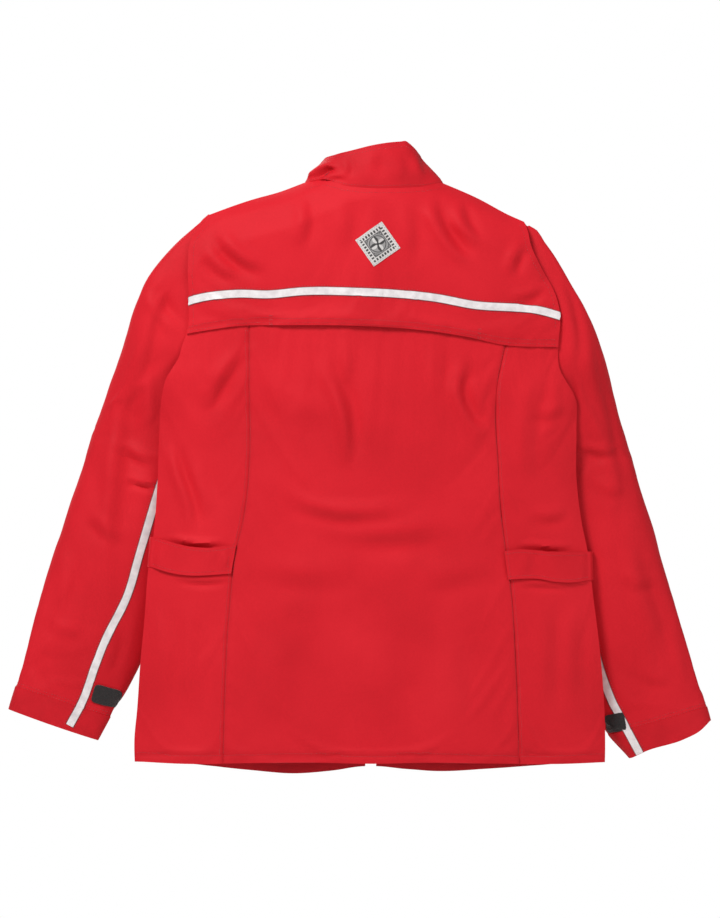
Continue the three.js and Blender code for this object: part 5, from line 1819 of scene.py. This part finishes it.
# %% Stitch rows
STITCH_PITCH = 3.6
POCKET_INSET = 13  # from the pocket's edge to its stitch rows
MOUTH_INSET = 10
STITCH_SIZE = (2.5, 0.75, 0.42)  # length, width and height
SPINDLE_FACES = ((0, 2, 4), (2, 1, 4), (1, 3, 4), (3, 0, 4), (2, 0, 5), (1, 2, 5), (3, 1, 5), (0, 3, 5))


def stitches(name, rows, bend=None, body="torso", material=None):
    """Rows of stitches as one mesh. A row is (points, trees): places laid on the cloth."""
    corners, faces = [], []
    for path, trees in rows:
        path = np.asarray(path, float)
        length = np.sum(np.linalg.norm(np.diff(path, axis=0), axis=1))
        spots = line(path, max(2, int(length / STITCH_PITCH)), rounded=False)
        for place, step in zip(spots, np.gradient(spots, axis=0)):
            at = Vector((place + SHIFT) * MM)
            hits = [t.find_nearest(at) for t in trees]
            spot, normal = min((h for h in hits if h[0]), key=lambda h: h[3])[:2]
            along = Vector(step)
            along = (along - along.dot(normal) * normal).normalized()
            across = normal.cross(along)
            reach, wide, tall = (v * MM for v in STITCH_SIZE)
            middle = spot + normal * 0.12 * MM
            first = len(corners)
            corners += [middle - along * reach / 2 - normal * 0.2 * MM,
                        middle + along * reach / 2 - normal * 0.2 * MM,
                        middle - across * wide / 2, middle + across * wide / 2, middle + normal * tall,
                        middle - normal * tall / 2]
            for a, b, c in SPINDLE_FACES:
                faces.append((first + a, first + c, first + b))
    mesh = bpy.data.meshes.new(name)
    mesh.from_pydata([c[:] for c in corners], [], faces)
    uv = mesh.uv_layers.new(name="cloth")
    uv.data.foreach_set("uv", [0.0] * (len(mesh.loops) * 2))
    mesh.polygons.foreach_set("use_smooth", [True] * len(mesh.polygons))
    piece = bpy.data.objects.new(name, mesh)
    scene.collection.objects.link(piece)
    piece.data.materials.append(material or THREAD)
    if bend:
        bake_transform(piece)
    else:
        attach(piece, body)
    print(name, "stitches:", len(faces) // 8)
    return piece


def on_back(points, rise=-4):
    points = np.asarray(points, float)
    y = -body_depth(points[:, 0], points[:, 1], BACK_FULL, 0.75) + rise
    return np.c_[points[:, 0], y, points[:, 1]]


def on_front(points, rise=4):
    points = np.asarray(points, float)
    return np.c_[points[:, 0], front_base(points[:, 0], points[:, 1]) + rise, points[:, 1]]


def shifted(points, distance):
    """The same line moved sideways, to its left."""
    points = line(points, 120, rounded=False)
    step = np.gradient(points, axis=0)
    step /= np.linalg.norm(step, axis=1, keepdims=True)
    return points + distance * np.stack([-step[:, 1], step[:, 0]], 1)


x = np.linspace(-236, 239, 150)
hem_x = np.linspace(-303, 301, 150)
back_rows = [(on_back(np.c_[hem_x, hem_height(hem_x) + 11]), back_trees)]
for hand in (-1, 1):
    z = np.linspace(14, 560, 120)
    back_rows.append((on_back(np.c_[princess(z, hand) + 5 * hand, z]), back_trees))
    back_rows.append((on_back(np.c_[princess(z, hand) + 1.6 * hand, z]), back_trees))
stitches("stitches_back", back_rows)

yoke_rows = [(on_back(np.c_[x, yoke_low(x) + d], -7), [yoke_tree]) for d in (3.0, 8.5)]
yoke_rows += [(on_back(np.c_[x, tape_height(x) + d], -7), [yoke_tree]) for d in (-7.2, 7.2)]
z = np.linspace(566, 700, 50)
yoke_rows += [(on_back(np.c_[smooth_value(LEFT_SIDE, z) + 5, z], -7), [yoke_tree]),
              (on_back(np.c_[smooth_value(RIGHT_SIDE, z) - 5, z], -7), [yoke_tree])]
yoke_rows.append((on_back(shifted(NECK_LINE, -5), -7), [yoke_tree]))
for tack in (-131, 139):
    for i in range(4):
        at, start = tack + i * 1.1, yoke_low(tack)
        yoke_rows.append((on_back([(at, start + 1), (at, start + 13)], -7), [yoke_tree]))
stitches("stitches_yoke", yoke_rows)

corner = np.array([(-1, -1), (1, -1), (1, 1), (-1, 1), (-1, -1)]) * (LABEL_HALF - 1.3)
turned = corner @ np.array([[math.cos(LABEL_TURN), math.sin(LABEL_TURN)],
                            [-math.sin(LABEL_TURN), math.cos(LABEL_TURN)]])
stitches("stitches_label", [(on_back(turned + LABEL_CENTRE, -8), [label_tree])],
         material=simple_cloth("polyester_thread_grey", "8f8b8a", "a9a5a4", 0.6, 0.6, 0.2, 0.4, 600.0))

turn = np.linspace(0.2, 2 * np.pi - 0.2, 200)
collar_rows = [(collar_surface(turn, np.full(200, v)), collar_trees) for v in (0.88, 0.96, 0.06)]
stitches("stitches_collar", collar_rows)

for side in ARMS:
    hand = ARMS[side]["hand"]
    top, low = TABS[side]["top"], TABS[side]["low"]
    loop_line = [line(top, 60) - (0, 4), line(low, 60) + (0, 4)]
    end = line([top[0], low[0]], 12) + (hand * 4, 0)
    rows = [(on_back(p, -8), tab_trees[side]) for p in (*loop_line, end)]
    stitches(f"stitches_tab_{side}", rows, body=f"waist_strap_{side}")

    turn = np.linspace(0, 2 * np.pi, 160)
    ring_rows = [(sleeve_surface(side, np.full(160, s), turn), sleeve_trees[side][1:]) for s in (513.5, 517.5)]
    stitches(f"stitches_cuff_{side}", ring_rows, bend=elbow_bend(side))

    path = ARM_TAPES[side][1]
    y_of = sleeve_back_y(side)
    tape_rows = []
    for d in (-7.0, 7.0):
        p = shifted(line(path, 200), d)
        tape_rows.append((np.c_[p[:, 0], y_of(p[:, 0], p[:, 1]) - 2, p[:, 1]], sleeve_trees[side][1:]))
    stitches(f"stitches_arm_tape_{side}", tape_rows, bend=elbow_bend(side))

    inner, outer = hand * (POCKET["inner"] + POCKET_INSET), hand * (POCKET["outer"] - POCKET_INSET)
    inset = [(inner, 213), (inner, 74), (outer, 74), (outer, 213)]
    mouth = [(hand * (POCKET["inner"] + MOUTH_INSET), 209), (hand * (POCKET["outer"] - MOUTH_INSET), 209)]
    stitches(f"stitches_pocket_{side}", [(on_front(inset, 20), pocket_trees[side]),
                                         (on_front(mouth, 20), pocket_trees[side])])
    lid = [(hand * 86, 229), (hand * 86, 195), (hand * 234, 195), (hand * 234, 229)]
    stitches(f"stitches_lid_{side}", [(on_front(lid, 22), lid_trees[side]),
                                      (on_front([(hand * 84, 228), (hand * 236, 228)], 6), lid_trees[side])],
             body=f"pocket_lid_{side}")

    chest = [(hand * 30, CHEST + 5), (hand * 228, CHEST + 5)]
    hem = np.linspace(hand * 30, hand * 296, 100)
    hem = np.c_[hem, smooth_value(FRONT_HEM, hem) + 11]
    scoop = [(hand * (a - 6), b) for a, b in SCOOP]
    stitches(f"stitches_front_{side}", [(on_front(chest), front_trees), (on_front(hem), front_trees),
                                        (on_front(scoop), front_trees)])

flap_rows = [([(x, FRONT_FACE + 12, z) for z in np.linspace(FLAP_LOW + 6, FLAP_HIGH - 5, 200)], flap_trees)
             for x in (-24.5, 24.5, 20.5)]
flap_rows.append(([(x, FRONT_FACE + 12, FLAP_HIGH - 5) for x in np.linspace(-24, 24, 20)], flap_trees))
stitches("stitches_storm_flap", flap_rows, body="flap")

# %% Boxes and the last line
low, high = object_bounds()
{"cad": [list(cad_low), list(cad_high)], "visual": [list(low), list(high)]}
print("visual box, metres:", [round(v, 3) for v in (*low, *high)])
